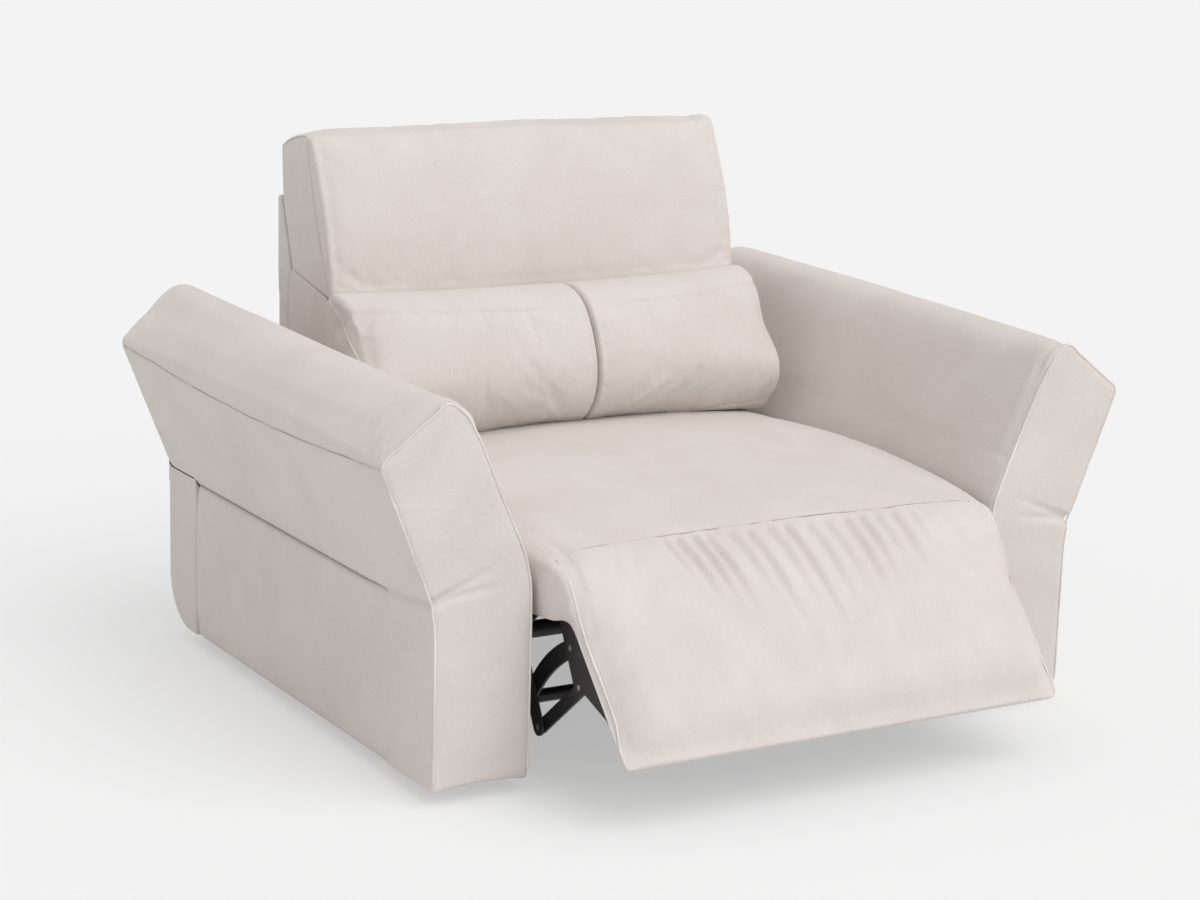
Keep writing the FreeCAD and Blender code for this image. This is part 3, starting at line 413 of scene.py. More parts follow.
def woodMaterial():
    material, tree, shader, place = startMaterial("sawnWood")
    stretch = addNode(tree, "ShaderNodeMapping", {"Vector": place, "Scale": (1.0, 0.12, 1.0)})
    along = stretch.outputs["Vector"]
    bands = addNode(tree, "ShaderNodeTexNoise", {"Vector": along, "Scale": 1 / woodSet["bandSize"], "Detail": 4.0,
                                                 "Distortion": 0.8})
    fibre = addNode(tree, "ShaderNodeTexNoise", {"Vector": along, "Scale": 1 / woodSet["fibreSize"]})
    color = addNode(tree, "ShaderNodeMixRGB", {"Fac": bands.outputs["Fac"], "Color1": hexColor(woodSet["band"]),
                                               "Color2": hexColor(woodSet["color"])})
    bump = addNode(tree, "ShaderNodeBump", {"Height": fibre.outputs["Fac"], "Strength": 0.2, "Distance": 0.0005})
    tree.links.new(color.outputs["Color"], shader.inputs["Base Color"])
    tree.links.new(bump.outputs["Normal"], shader.inputs["Normal"])
    shader.inputs["Roughness"].default_value = woodSet["roughness"]
    return material


# Polypropylene webbing: dark woven tape with a ribbed face
webbingSet = dict(color="#26241f", rib="#3a372f", ribSize=0.0035, roughness=0.85)


def webbingMaterial():
    material, tree, shader, place = startMaterial("wovenWebbing")
    ribs = addNode(tree, "ShaderNodeTexWave", {"Vector": place, "Scale": 1 / webbingSet["ribSize"] / 6,
                                               "Distortion": 0.6}, bands_direction="DIAGONAL")
    color = addNode(tree, "ShaderNodeMixRGB", {"Fac": ribs.outputs["Fac"], "Color1": hexColor(webbingSet["color"]),
                                               "Color2": hexColor(webbingSet["rib"])})
    bump = addNode(tree, "ShaderNodeBump", {"Height": ribs.outputs["Fac"], "Strength": 0.4, "Distance": 0.0008})
    tree.links.new(color.outputs["Color"], shader.inputs["Base Color"])
    tree.links.new(bump.outputs["Normal"], shader.inputs["Normal"])
    shader.inputs["Roughness"].default_value = webbingSet["roughness"]
    return material


# Moulded ABS with a spark eroded texture: fine even pits, soft highlights
plasticSet = dict(pitSize=0.0012, cloudSize=0.03, roughness=0.5)


def plasticMaterial(name, dark, light):
    material, tree, shader, place = startMaterial(name)
    pits = addNode(tree, "ShaderNodeTexVoronoi", {"Vector": place, "Scale": 1 / plasticSet["pitSize"]})
    cloud = addNode(tree, "ShaderNodeTexNoise", {"Vector": place, "Scale": 1 / plasticSet["cloudSize"],
                                                 "Detail": 3.0})
    color = addNode(tree, "ShaderNodeMixRGB", {"Fac": cloud.outputs["Fac"], "Color1": hexColor(dark),
                                               "Color2": hexColor(light)})
    bump = addNode(tree, "ShaderNodeBump", {"Height": pits.outputs["Distance"], "Strength": 0.2, "Distance": 0.0003})
    tree.links.new(color.outputs["Color"], shader.inputs["Base Color"])
    tree.links.new(bump.outputs["Normal"], shader.inputs["Normal"])
    shader.inputs["Roughness"].default_value = plasticSet["roughness"]
    return material


suede = suedeMaterial("brushedSuede", suedeSet["base"])
# the welts' tubes are real; their paler colour is a painted highlight
weltPaintedHighlight = suedeMaterial("seamSuedePaintedHighlight", suedeSet["welt"])
# the flat seams' thin tubes are coloured darker as painted shade for the shade in the seam grooves
seamPaintedShade = suedeMaterial("seamSuedePaintedShade", suedeSet["shade"])
finishes = {
    "cream_fabric": suede,
    "frame_board": woodMaterial(),
    "dark_webbing": webbingMaterial(),
    "black_steel": powderSteelMaterial(),
    "bright_steel": zincSteelMaterial(),
    "black_plastic": plasticMaterial("blackPlastic", "#161617", "#222223"),
    "grey_plastic": plasticMaterial("greyPlastic", "#6c6d70", "#7e7f82"),
}
for part in frame["record"]["subparts"]:
    slots = nodes[part["node"]].data.materials
    slots.clear()
    slots.append(finishes[part["material_slot"]])
print("materials made:", len(bpy.data.materials))


def dress(piece, body, material, replaced=(), across=None):
    piece.data.materials.clear()
    piece.data.materials.append(material)
    if across:
        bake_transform(piece)
    else:
        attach(piece, body)
    if replaced:
        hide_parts(*replaced)
    return piece


# Seat and legrest, one cover that runs over the hinge
hingeY, hingeZ = -0.443, 0.353
flapTurn = math.radians(43.0)
seatSet = dict(voxel=0.0095, easing=6, cap=0.010, uneven=0.0012, unevenSize=0.24, unevenSeed=3, fullSides=0.016,
               crownFront=-0.42, crownLength=0.62, wideSides=0.008, edge=0.441, out=0.062, bend=0.061, length=0.335,
               footGap=0.004, seamY=-0.454, seamZ=0.45, seamHalf=0.425, seamWidth=0.006, seamDepth=0.0016,
               seamRadius=0.0012, weltRadius=0.0016)
# each range is where a change begins and where it is complete
seatRange = dict(unevenZ=(0.38, 0.42), fullX=(0.12, 0.40), fullZ=(0.36, 0.40), frontFace=(0.25, 0.6),
                 wideX=(0.430, 0.458), wideZ=(0.335, 0.365), wideY=(-0.44, -0.38))
# the frame holds the cover below, behind and beside these places, and close to the legrest's board
seatHold = dict(low=0.365, front=-0.40, rear=0.30, side=0.425, board=0.035, top=-0.02)
# the flap's front rolls back towards its sides and foot, and its cover goes round the board
flapSet = dict(roll=0.026, footRoll=0.016, widen=0.007, narrow=0.004, longer=0.005, weltX=0.447, weltOut=0.036,
               weltRun=0.13, weltStart=(1.45, 1.1), boardHalf=0.440, boardTop=0.026, boardFoot=0.334, boardBack=0.003,
               boardFront=0.030, depth=0.031)
# ranges down the flap, across it or out from its hinge
flapRange = dict(low=(0.02, 0.12), side=(0.36, 0.441), foot=(0.265, 0.335), front=(0.010, 0.050), wide=(0.39, 0.435),
                 longer=(0.2, 0.335))
coverAcross = ("base", "legrest", (0.0, -0.415, 0.43), (0.0, -0.505, 0.375))
# each gather: place across, how far down it runs and how deep it is
gathers = ((-0.243, 0.115, 0.6), (-0.222, 0.150, 1.0), (-0.190, 0.165, 0.8), (-0.162, 0.195, 1.0),
           (-0.118, 0.170, 0.7), (-0.082, 0.235, 1.0), (-0.040, 0.190, 0.7), (-0.004, 0.255, 1.0),
           (0.040, 0.215, 0.8), (0.078, 0.175, 0.7), (0.118, 0.200, 0.9), (0.152, 0.180, 0.8),
           (0.186, 0.150, 0.7), (0.225, 0.165, 0.9), (0.262, 0.120, 0.6))
gatherSet = dict(depth=0.0084, width=0.0076, lean=0.13, fan=-0.30, start=-0.044, fadeIn=0.016, fadeOut=0.3,
                 ridge=0.45, ridgePlace=1.9, ridgeWidth=0.9)


def flapPlaces(co):
    # down along the flap and out from its hinge, with the flap as photographed
    y, z = co[:, 1] - hingeY, co[:, 2] - hingeZ
    down = -y * math.sin(flapTurn) - z * math.cos(flapTurn)
    out = -y * math.cos(flapTurn) + z * math.sin(flapTurn)
    return down, out


def flapPoint(x, down, out):
    y = hingeY - down * math.sin(flapTurn) - out * math.cos(flapTurn)
    z = hingeZ - down * math.cos(flapTurn) + out * math.sin(flapTurn)
    return (x, y, z)


def seatHeld(co):
    down, out = flapPlaces(co)
    low = (co[:, 2] < seatHold["low"]) & (co[:, 1] > seatHold["front"])
    board = (out < seatHold["board"]) & (down > seatHold["top"])
    return low | board | (co[:, 1] > seatHold["rear"]) | (np.abs(co[:, 0]) > seatHold["side"])


# pieces that close the seat's front corners: outline in y and z, and how far out each place lies
cornerSet = dict(inner=0.425, outer=0.4615, middle=(-0.435, 0.350))
cornerEdge = ((-0.370, 0.398, 0.4615), (-0.4445, 0.402, 0.4585), (-0.461, 0.399, 0.4530), (-0.480, 0.385, 0.4470),
              (-0.511, 0.347, 0.4440), (-0.525, 0.328, 0.4430), (-0.510, 0.317, 0.4470), (-0.460, 0.305, 0.4560),
              (-0.370, 0.297, 0.4615))


def makeCorner(name, sign):
    rim = [(sign * x, y, z) for y, z, x in cornerEdge]
    inside = [(sign * cornerSet["inner"], y, z) for y, z, x in cornerEdge]
    middles = [(sign * cornerSet[key], *cornerSet["middle"]) for key in ("outer", "inner")]
    count = len(rim)
    faces = []
    for i in range(count):
        j = (i + 1) % count
        faces += [(i, j, 2 * count), (count + j, count + i, 2 * count + 1), (j, i, count + i, count + j)]
    return faceOutwards(meshPiece(name, rim + inside + middles, faces))


def makeBoardWrap(name):
    half, top, foot = flapSet["boardHalf"], flapSet["boardTop"], flapSet["boardFoot"]
    corners = [flapPoint(x, down, out) for x in (-half, half) for down in (top, foot)
               for out in (flapSet["boardBack"], flapSet["boardFront"])]
    faces = [(0, 1, 3, 2), (4, 6, 7, 5), (0, 4, 5, 1), (2, 3, 7, 6), (0, 2, 6, 4), (1, 5, 7, 3)]
    return faceOutwards(meshPiece(name, corners, faces))


def rollFlap(co):
    down, out = flapPlaces(co)
    low = smoothStep(*flapRange["low"], down)
    side = smoothStep(*flapRange["side"], np.abs(co[:, 0])) * low
    foot = smoothStep(*flapRange["foot"], down)
    front = smoothStep(*flapRange["front"], out)
    back = np.hypot(flapSet["roll"] * side ** 2, flapSet["footRoll"] * foot ** 2) * front
    back = np.minimum(back, flapSet["roll"])
    depth = np.clip((out - back - flapSet["boardBack"]) / flapSet["depth"], 0, 1)
    wide = flapSet["widen"] * depth - flapSet["narrow"] * (1 - depth)
    wide = wide * smoothStep(*flapRange["wide"], np.abs(co[:, 0])) * low
    longer = flapSet["longer"] * smoothStep(*flapRange["longer"], down)
    moved = co.copy()
    moved[:, 0] += np.sign(co[:, 0]) * wide
    moved[:, 1] += back * math.cos(flapTurn) - longer * math.sin(flapTurn)
    moved[:, 2] -= back * math.sin(flapTurn) + longer * math.cos(flapTurn)
    return moved


extras = [makeCorner("corner_left", -1), makeCorner("corner_right", 1), makeBoardWrap("boardWrap")]
seat = softCopy("seatCover", ["seat_cushion", "legrest_pad"], seatSet["voxel"], seatSet["easing"], extra=extras)
inflate(seat, seatHeld, seatSet["cap"])
refine(seat)
co = getPoints(seat)
down, out = flapPlaces(co)
uneven = wobble(co, seatSet["unevenSize"], seatSet["unevenSeed"])
lift = seatSet["uneven"] * uneven * smoothStep(*seatRange["unevenZ"], co[:, 2])
span = np.clip((co[:, 1] - seatSet["crownFront"]) / seatSet["crownLength"], 0, 1)
sides = smoothStep(*seatRange["fullX"], np.abs(co[:, 0])) * smoothStep(*seatRange["fullZ"], co[:, 2])
lift += seatSet["fullSides"] * 4 * span * (1 - span) * sides
fold = np.zeros(len(co))
for place, reach, depth in gathers:
    along = down - gatherSet["start"]
    off = (co[:, 0] - place - (gatherSet["lean"] + gatherSet["fan"] * place) * along) / gatherSet["width"]
    strength = depth * smoothStep(0.0, gatherSet["fadeIn"], along)
    strength *= 1 - smoothStep(gatherSet["fadeOut"] * reach, reach, along)
    # each gather is a groove with a low ridge on both sides
    beside = (np.abs(off) - gatherSet["ridgePlace"]) / gatherSet["ridgeWidth"]
    fold += strength * (np.exp(-off ** 2) - gatherSet["ridge"] * np.exp(-beside ** 2))
normals = getNormals(seat)
upper = smoothStep(*seatRange["frontFace"], -normals[:, 1] * math.cos(flapTurn) + normals[:, 2] * math.sin(flapTurn))
co = co - normals * (fold * upper * gatherSet["depth"])[:, None]
# the seat's sides reach the arms
wide = seatSet["wideSides"] * smoothStep(*seatRange["wideX"], np.abs(co[:, 0]))
wide *= smoothStep(*seatRange["wideZ"], co[:, 2])
co[:, 0] += np.sign(co[:, 0]) * wide * smoothStep(*seatRange["wideY"], co[:, 1])
setPoints(seat, rollFlap(co + np.outer(lift, (0, 0, 1))))
acrossSeat = np.linspace(-seatSet["seamHalf"], seatSet["seamHalf"], 12)
frontSeam = [(x, seatSet["seamY"], seatSet["seamZ"]) for x in acrossSeat]
crease(seat, frontSeam, seatSet["seamWidth"], seatSet["seamDepth"], False)
coveredNodes = ["seat_cushion", "legrest_pad", "seat_cheek_left", "seat_cheek_right"]
dress(seat, None, suede, coveredNodes, coverAcross)
# the seat seam's tube is coloured darker as painted shade for the shade in its groove
seam = seamLine("seatSeam", seat, frontSeam, seatSet["seamRadius"], 0.1, easing=8)
dress(seam, None, seamPaintedShade, across=coverAcross)
for side, sign in (("left", -1), ("right", 1)):
    # over the hinge first, then down the flap's rolled edge
    x, bend = sign * seatSet["edge"], seatSet["bend"]
    edge = [(x, hingeY - bend * math.cos(turn), hingeZ + bend * math.sin(turn)) for turn in flapSet["weltStart"]]
    for down in np.linspace(0.0, seatSet["length"] - seatSet["footGap"], 9):
        share = float(smoothStep(0.0, flapSet["weltRun"], down))
        edge.append(flapPoint(sign * (seatSet["edge"] + (flapSet["weltX"] - seatSet["edge"]) * share), down,
                              seatSet["out"] + (flapSet["weltOut"] - seatSet["out"]) * share))
    welt = seamLine("flapSeam_" + side, seat, edge, seatSet["weltRadius"], easing=3)
    # the flap's welts carry the painted highlight colour
    dress(welt, None, weltPaintedHighlight, across=coverAcross)
print("seat and legrest made")


# Back: lumbar cushions, headrest and shell
lumbarSet = dict(voxel=0.006, easing=5, cap=0.012, inner=0.005, round=0.0224, outer=0.453, seamHalf=0.008,
                 seamGap=0.0006, endRound=0.009, topLift=0.010, sag=0.012, endSag=0.020, endBack=0.030,
                 low=0.455, height=0.245, puckerWidth=0.008, puckerDepth=0.0035, weltRadius=0.0014)
lumbarRange = dict(topZ=(0.62, 0.69), frontY=(0.32, 0.42), endBackZ=(0.55, 0.66))
lumbarHold = dict(rear=0.38, seam=0.010, high=0.685, low=0.455)
lumbarEnd = ((0.405, 0.700), (0.370, 0.680), (0.330, 0.650), (0.285, 0.612), (0.245, 0.575), (0.225, 0.540),
             (0.227, 0.505), (0.245, 0.478), (0.262, 0.462))
# puckers at the foot of each cushion: place across, height and depth
puckers = dict(left=((-0.335, 0.050, 0.8), (-0.292, 0.060, 1.0), (-0.255, 0.070, 1.0), (-0.214, 0.055, 0.9),
                     (-0.150, 0.045, 0.6), (-0.090, 0.060, 0.8)),
               right=((0.070, 0.045, 0.6), (0.180, 0.040, 0.5), (0.300, 0.050, 0.6)))


def squareEnds(co):
    # the solids end in wide round ends; the sewn cushions meet in a tight seam and have square outer ends
    x = np.abs(co[:, 0])
    low, high = lumbarSet["inner"], lumbarSet["outer"]
    solid = (low, low + lumbarSet["round"], high - lumbarSet["round"], high)
    sewn = (lumbarSet["seamGap"], lumbarSet["seamHalf"], high - lumbarSet["endRound"], high)
    moved = co.copy()
    moved[:, 0] = np.sign(co[:, 0]) * np.interp(x, solid, sewn)
    moved[:, 2] += lumbarSet["topLift"] * smoothStep(*lumbarRange["topZ"], co[:, 2])
    return moved


def sagLumbar(co):
    # the filling settles: the fullest place sinks, and the ends slope more steeply
    end = np.abs(co[:, 0]) / lumbarSet["outer"]
    front = 1 - smoothStep(*lumbarRange["frontY"], co[:, 1])
    height = np.clip((co[:, 2] - lumbarSet["low"]) / lumbarSet["height"], 0, 1)
    moved = co.copy()
    moved[:, 2] -= (lumbarSet["sag"] + lumbarSet["endSag"] * end ** 2) * np.sin(math.pi * height) * front
    moved[:, 1] += lumbarSet["endBack"] * end ** 3 * smoothStep(*lumbarRange["endBackZ"], co[:, 2]) * front
    return moved


def lumbarHeld(co):
    ends = (co[:, 2] > lumbarHold["high"]) | (co[:, 2] < lumbarHold["low"])
    return ends | (co[:, 1] > lumbarHold["rear"]) | (np.abs(co[:, 0]) < lumbarHold["seam"])


for side, sign in (("left", -1), ("right", 1)):
    lumbar = softCopy("lumbarCushion_" + side, ["lumbar_cushion_" + side], lumbarSet["voxel"], lumbarSet["easing"],
                      squareEnds)
    setPoints(lumbar, sagLumbar(getPoints(lumbar)))
    inflate(lumbar, lumbarHeld, lumbarSet["cap"])
    refine(lumbar)
    for x, height, depth in puckers[side]:
        line = [(x, 0.20, 0.455), (x + 0.006, 0.165, 0.49), (x + 0.014, 0.158, 0.49 + height)]
        crease(lumbar, line, lumbarSet["puckerWidth"], lumbarSet["puckerDepth"] * depth)
    dress(lumbar, "back", suede, ["lumbar_cushion_" + side])
    line = [(sign * lumbarSet["outer"], y, z) for y, z in lumbarEnd]
    # the lumbar end welt carries the painted highlight colour
    dress(seamLine("lumbarSeam_" + side, lumbar, line, lumbarSet["weltRadius"]), "back", weltPaintedHighlight)

headSet = dict(voxel=0.008, easing=3, cap=0.008, side=0.446, uneven=0.002, unevenSize=0.16, unevenSeed=8, rise=0.010,
               ear=0.011, earPlace=(0.446, 0.515, 0.985), earSize=0.032, wrinkleWidth=0.007, wrinkleDepth=0.0035,
               seamRadius=0.0013)
headRange = dict(topZ=(0.93, 0.99), riseZ=(0.88, 0.98))
headHold = dict(rear=0.585, low=0.715, side=0.436)
headSeam = ((0.622, 0.955), (0.570, 0.974), (0.516, 0.989), (0.509, 0.985), (0.500, 0.9415), (0.484, 0.8856),
            (0.464, 0.8276), (0.437, 0.7598), (0.412, 0.706))
headWrinkles = (((0.150, 0.405, 0.722), (0.185, 0.425, 0.775)), ((0.215, 0.402, 0.722), (0.250, 0.425, 0.782)),
                ((0.295, 0.402, 0.725), (0.315, 0.415, 0.760)))


def headHeld(co):
    ends = (co[:, 1] > headHold["rear"]) | (co[:, 2] < headHold["low"])
    return ends | (np.abs(co[:, 0]) > headHold["side"])


headrest = softCopy("headrestCushion", ["headrest_cushion"], headSet["voxel"], headSet["easing"])
inflate(headrest, headHeld, headSet["cap"])
refine(headrest)
co = getPoints(headrest)
high = smoothStep(*headRange["topZ"], co[:, 2])
# the right top corner stands up a little
corner = np.exp(-(np.linalg.norm(co - np.array(headSet["earPlace"]), axis=1) / headSet["earSize"]) ** 2)
uneven = wobble(co, headSet["unevenSize"], headSet["unevenSeed"])
co[:, 2] += headSet["uneven"] * uneven * high + headSet["ear"] * corner
co[:, 2] += headSet["rise"] * smoothStep(*headRange["riseZ"], co[:, 2])
setPoints(headrest, co)
for low, top in headWrinkles:
    crease(headrest, [low, top], headSet["wrinkleWidth"], headSet["wrinkleDepth"])
dress(headrest, "headrest", suede, ["headrest_cushion"])
for side, sign in (("left", -1), ("right", 1)):
    line = [(sign * headSet["side"], y, z) for y, z in headSeam]
    # the headrest's side seams are dark tubes of painted shade
    dress(seamLine("headSeam_" + side, headrest, line, headSet["seamRadius"], 0.0), "headrest", seamPaintedShade)

shellSet = dict(voxel=0.008, sideVoxel=0.004, lift=0.013, liftZ=(0.60, 0.68))


def sideLift(co):
    # the side panels close up to the headrest
    moved = co.copy()
    moved[:, 2] += shellSet["lift"] * smoothStep(*shellSet["liftZ"], co[:, 2])
    return moved


# sheets of cover that close the gaps at the back and headrest: the aprons' profiles are in y and z
sheetSet = dict(half=0.436, thick=0.004, rows=25, columns=9, sideColumns=17)
seatApron = ((0.322, 0.385), (0.326, 0.430), (0.332, 0.470), (0.350, 0.510))
headApron = ((0.602, 0.650), (0.594, 0.690), (0.572, 0.722), (0.560, 0.750))
headGusset = dict(half=0.430, front=0.424, rear=0.582, low=0.650, high=0.745)
backGusset = dict(half=0.443, front=0.322, rear=0.440, low=0.345, high=0.455)
seatApronAcross = ("base", "back", (0.0, 0.327, 0.438), (0.0, 0.333, 0.474))
headApronAcross = ("back", "headrest", (0.0, 0.593, 0.692), (0.0, 0.573, 0.721))
headGussetAcross = ("back", "headrest", (0.0, 0.5, 0.692), (0.0, 0.5, 0.721))


def makeSheet(name, rows):
    count = len(rows[0])
    faces = [(i * count + j, i * count + j + 1, (i + 1) * count + j + 1, (i + 1) * count + j)
             for i in range(len(rows) - 1) for j in range(count - 1)]
    sheet = meshPiece(name, [place for row in rows for place in row], faces)
    applyModifier(sheet, "thick", "SOLIDIFY", thickness=sheetSet["thick"], offset=0.0)
    bpy.ops.object.shade_smooth()
    return sheet


def makeApron(name, profile):
    path = np.array(profile)
    reach = pathLengths(path)
    spots = np.linspace(0, reach[-1], sheetSet["rows"])
    line = np.stack([np.interp(spots, reach, path[:, axis]) for axis in (0, 1)], axis=1)
    across = np.linspace(-sheetSet["half"], sheetSet["half"], sheetSet["columns"])
    return makeSheet(name, [[(x, y, z) for x in across] for y, z in line])


def makeGusset(name, sign, gusset):
    # upright, at the side under the raised headrest or beside the foot of the back
    ys = np.linspace(gusset["front"], gusset["rear"], sheetSet["sideColumns"])
    zs = np.linspace(gusset["low"], gusset["high"], sheetSet["rows"])
    return makeSheet(name, [[(sign * gusset["half"], y, z) for y in ys] for z in zs])


dress(makeApron("seatApron", seatApron), None, suede, across=seatApronAcross)
dress(makeApron("headApron", headApron), None, suede, across=headApronAcross)
for side, sign in (("left", -1), ("right", 1)):
    dress(makeGusset("headGusset_" + side, sign, headGusset), None, suede, across=headGussetAcross)
    dress(makeGusset("backGusset_" + side, sign, backGusset), "back", suede)
shell = softCopy("backShell", ["back_shell"], shellSet["voxel"])
dress(shell, "back", suede, ["back_shell"])
sides = softCopy("backSides", ["back_side_panels"], shellSet["sideVoxel"], 2, sideLift, 2)
dress(sides, "back", suede, ["back_side_panels"])
print("back made")


# Arms: the pad and its front pillar share one cover
armSet = dict(voxel=0.0085, easing=4, cap=0.006, foldX=0.5715, foldZ=0.384, lean=math.radians(22.0), front=-0.430,
              rear=0.690, rollSteps=60, edgeRound=0.35, crown=0.008, half=0.094, backRise=0.016, pull=0.008,
              pullDepth=0.034, peak=0.005, peakAcross=-0.055, peakSize=0.022, foldWidth=0.006, foldDepth=0.0075,
              sideFoldDepth=0.006, weltRadius=0.0021, seamRadius=0.0015, seamAcross=0.096, seamUp=0.250,
              seamDip=0.024, seamSpan=(-0.42, 0.67), seamMiddle=0.125, seamReach=0.555, blendLow=0.335,
              blendHigh=0.43)
# ranges up and across in the leaning pad, and back from its front
armRange = dict(ridgeUp=(0.16, 0.24), ridgeAcross=(0.0, 0.05), ridgeBehind=(0.03, 0.09), edgeUp=(0.19, 0.25),
                edgeAcross=(0.03, 0.08), edgeBehind=(0.03, 0.16), edgeEndY=(0.52, 0.67), crownUp=(0.235, 0.27),
                crownBehind=(0.0, 0.06), riseY=(-0.05, 0.75), riseUp=(0.15, 0.28), riseAcross=(-0.03, 0.05),
                pullUp=(0.0, 0.12), pullAcross=(0.02, 0.08), peakUp=(0.26, 0.29))
armHold = dict(up=0.06, front=0.015, rear=0.02)
leanUp = (math.sin(armSet["lean"]), 0, math.cos(armSet["lean"]))
leanOut = (math.cos(armSet["lean"]), 0, -math.sin(armSet["lean"]))
# the pad's lower edge goes on as a fold across the pillar's outer side
armSideFold = ((0.6585, -0.250, 0.334), (0.6600, -0.340, 0.338), (0.6615, -0.430, 0.350))
armFolds = (((0.662, 0.352), (0.593, 0.379), (0.525, 0.409)), ((0.662, 0.349), (0.600, 0.361), (0.522, 0.368)))
# frame of the front face: down the pillar in x and z, round the pad in its own leaning places
pillarOuter = ((0.652, 0.045), (0.652, 0.20), (0.653, 0.30), (0.660, 0.347))
padFront = ((0.095, 0.03), (0.096, 0.15), (0.096, 0.245), (0.093, 0.259), (0.080, 0.266), (-0.040, 0.299),
            (-0.054, 0.300), (-0.064, 0.290), (-0.0776, 0.262), (-0.0846, 0.213), (-0.0899, 0.155), (-0.0905, 0.09),
            (-0.0888, -0.017))
pillarInner = ((0.475, 0.355), (0.4725, 0.30), (0.472, 0.18), (0.472, 0.045))


def armPlaces(co):
    # across and up inside the leaning pad, from its fold axis
    dx, dz = co[:, 0] - armSet["foldX"], co[:, 2] - armSet["foldZ"]
    turn = armSet["lean"]
    return dx * math.cos(turn) - dz * math.sin(turn), dx * math.sin(turn) + dz * math.cos(turn)


def armPoint(across, up, y):
    turn = armSet["lean"]
    x = armSet["foldX"] + across * math.cos(turn) + up * math.sin(turn)
    return (x, y, armSet["foldZ"] - across * math.sin(turn) + up * math.cos(turn))


def armHeld(co):
    across, up = armPlaces(co)
    ends = (co[:, 1] < armSet["front"] + armHold["front"]) | (co[:, 1] > armSet["rear"] - armHold["rear"])
    return ends | (up < armHold["up"])


def armAcross(side, sign):
    x = sign * armSet["foldX"]
    return ("base", "arm_" + side, (x, 0.0, armSet["blendLow"]), (x, 0.0, armSet["blendHigh"]))


cover = softCopy("armCover_right", ["arm_pad_right", "arm_front_pillar_right"], armSet["voxel"], armSet["easing"])
inflate(cover, armHeld, armSet["cap"])
co = getPoints(cover)
across, up = armPlaces(co)
behind = co[:, 1] - armSet["front"]
# the inner top edge is rolled most, the outer one less
ridge = smoothStep(*armRange["ridgeUp"], up) * smoothStep(*armRange["ridgeAcross"], -across)
ridge *= smoothStep(*armRange["ridgeBehind"], behind)
outerEdge = smoothStep(*armRange["edgeUp"], up) * smoothStep(*armRange["edgeAcross"], across)
outerEdge *= smoothStep(*armRange["edgeBehind"], behind)
ridge = np.maximum(ridge, armSet["edgeRound"] * outerEdge * (1 - smoothStep(*armRange["edgeEndY"], co[:, 1])))
group = cover.vertex_groups.new(name="ridge")
for level in range(1, 11):
    group.add([int(i) for i in np.nonzero(np.ceil(ridge * 10) == level)[0]], level / 10, "REPLACE")
applyModifier(cover, "roll", "SMOOTH", factor=0.5, iterations=armSet["rollSteps"], vertex_group="ridge")
cover.vertex_groups.clear()
refine(cover)
co = getPoints(cover)
across, up = armPlaces(co)
crown = armSet["crown"] * smoothStep(*armRange["crownUp"], up) * np.clip(1 - (across / armSet["half"]) ** 2, 0, 1)
co = co + np.outer(crown * smoothStep(*armRange["crownBehind"], co[:, 1] - armSet["front"]), leanUp)
rise = smoothStep(*armRange["riseY"], co[:, 1]) * smoothStep(*armRange["riseUp"], up)
rise *= smoothStep(*armRange["riseAcross"], -across)
co = co + np.outer(armSet["backRise"] * rise, leanUp)
# the front welt pulls the inner side in and stands up as a small peak
near = 1 - smoothStep(0.0, armSet["pullDepth"], co[:, 1] - armSet["front"])
pull = armSet["pull"] * near * smoothStep(*armRange["pullUp"], up) * smoothStep(*armRange["pullAcross"], -across)
bump = np.exp(-((across - armSet["peakAcross"]) / armSet["peakSize"]) ** 2)
peak = armSet["peak"] * near * bump * smoothStep(*armRange["peakUp"], up)
setPoints(cover, co + np.outer(pull, leanOut) + np.outer(peak, leanUp))
for line in armFolds:
    crease(cover, [(x, armSet["front"], z) for x, z in line], armSet["foldWidth"], armSet["foldDepth"])
crease(cover, armSideFold, armSet["foldWidth"], armSet["sideFoldDepth"], False)
frontLine = [(x, armSet["front"], z) for x, z in pillarOuter]
frontLine += [armPoint(across, up, armSet["front"]) for across, up in padFront]
frontLine += [(x, armSet["front"], z) for x, z in pillarInner]
frontWelt = seamLine("armFrontSeam_right", cover, frontLine, armSet["weltRadius"], 0.5)
edgeLine = []
for y in np.linspace(*armSet["seamSpan"], 16):
    dip = armSet["seamDip"] * (1 - ((y - armSet["seamMiddle"]) / armSet["seamReach"]) ** 2)
    edgeLine.append(armPoint(armSet["seamAcross"], armSet["seamUp"] - dip, y))
edgeSeam = seamLine("armEdgeSeam_right", cover, edgeLine, armSet["seamRadius"], 0.0)

# hard backed padding below the pads: solid, name and voxel
armBlocks = (("arm_rear_post", "armPost", 0.006), ("arm_side_panel", "armSide", 0.0067),
             ("arm_inner_panel", "armInner", 0.0045))
sideSet = dict(flat=0.651, puff=0.004, tuck=0.014, rise=0.008, endRise=0.005, lip=0.6515)
sideRange = dict(tuckY=(-0.26, -0.20), flatX=(0.6440, 0.6480), puffX=(0.640, 0.650), endY=(-0.25, -0.15),
                 riseX=(0.632, 0.648), riseZ=(0.295, 0.320), lipZ=(0.28, 0.33))


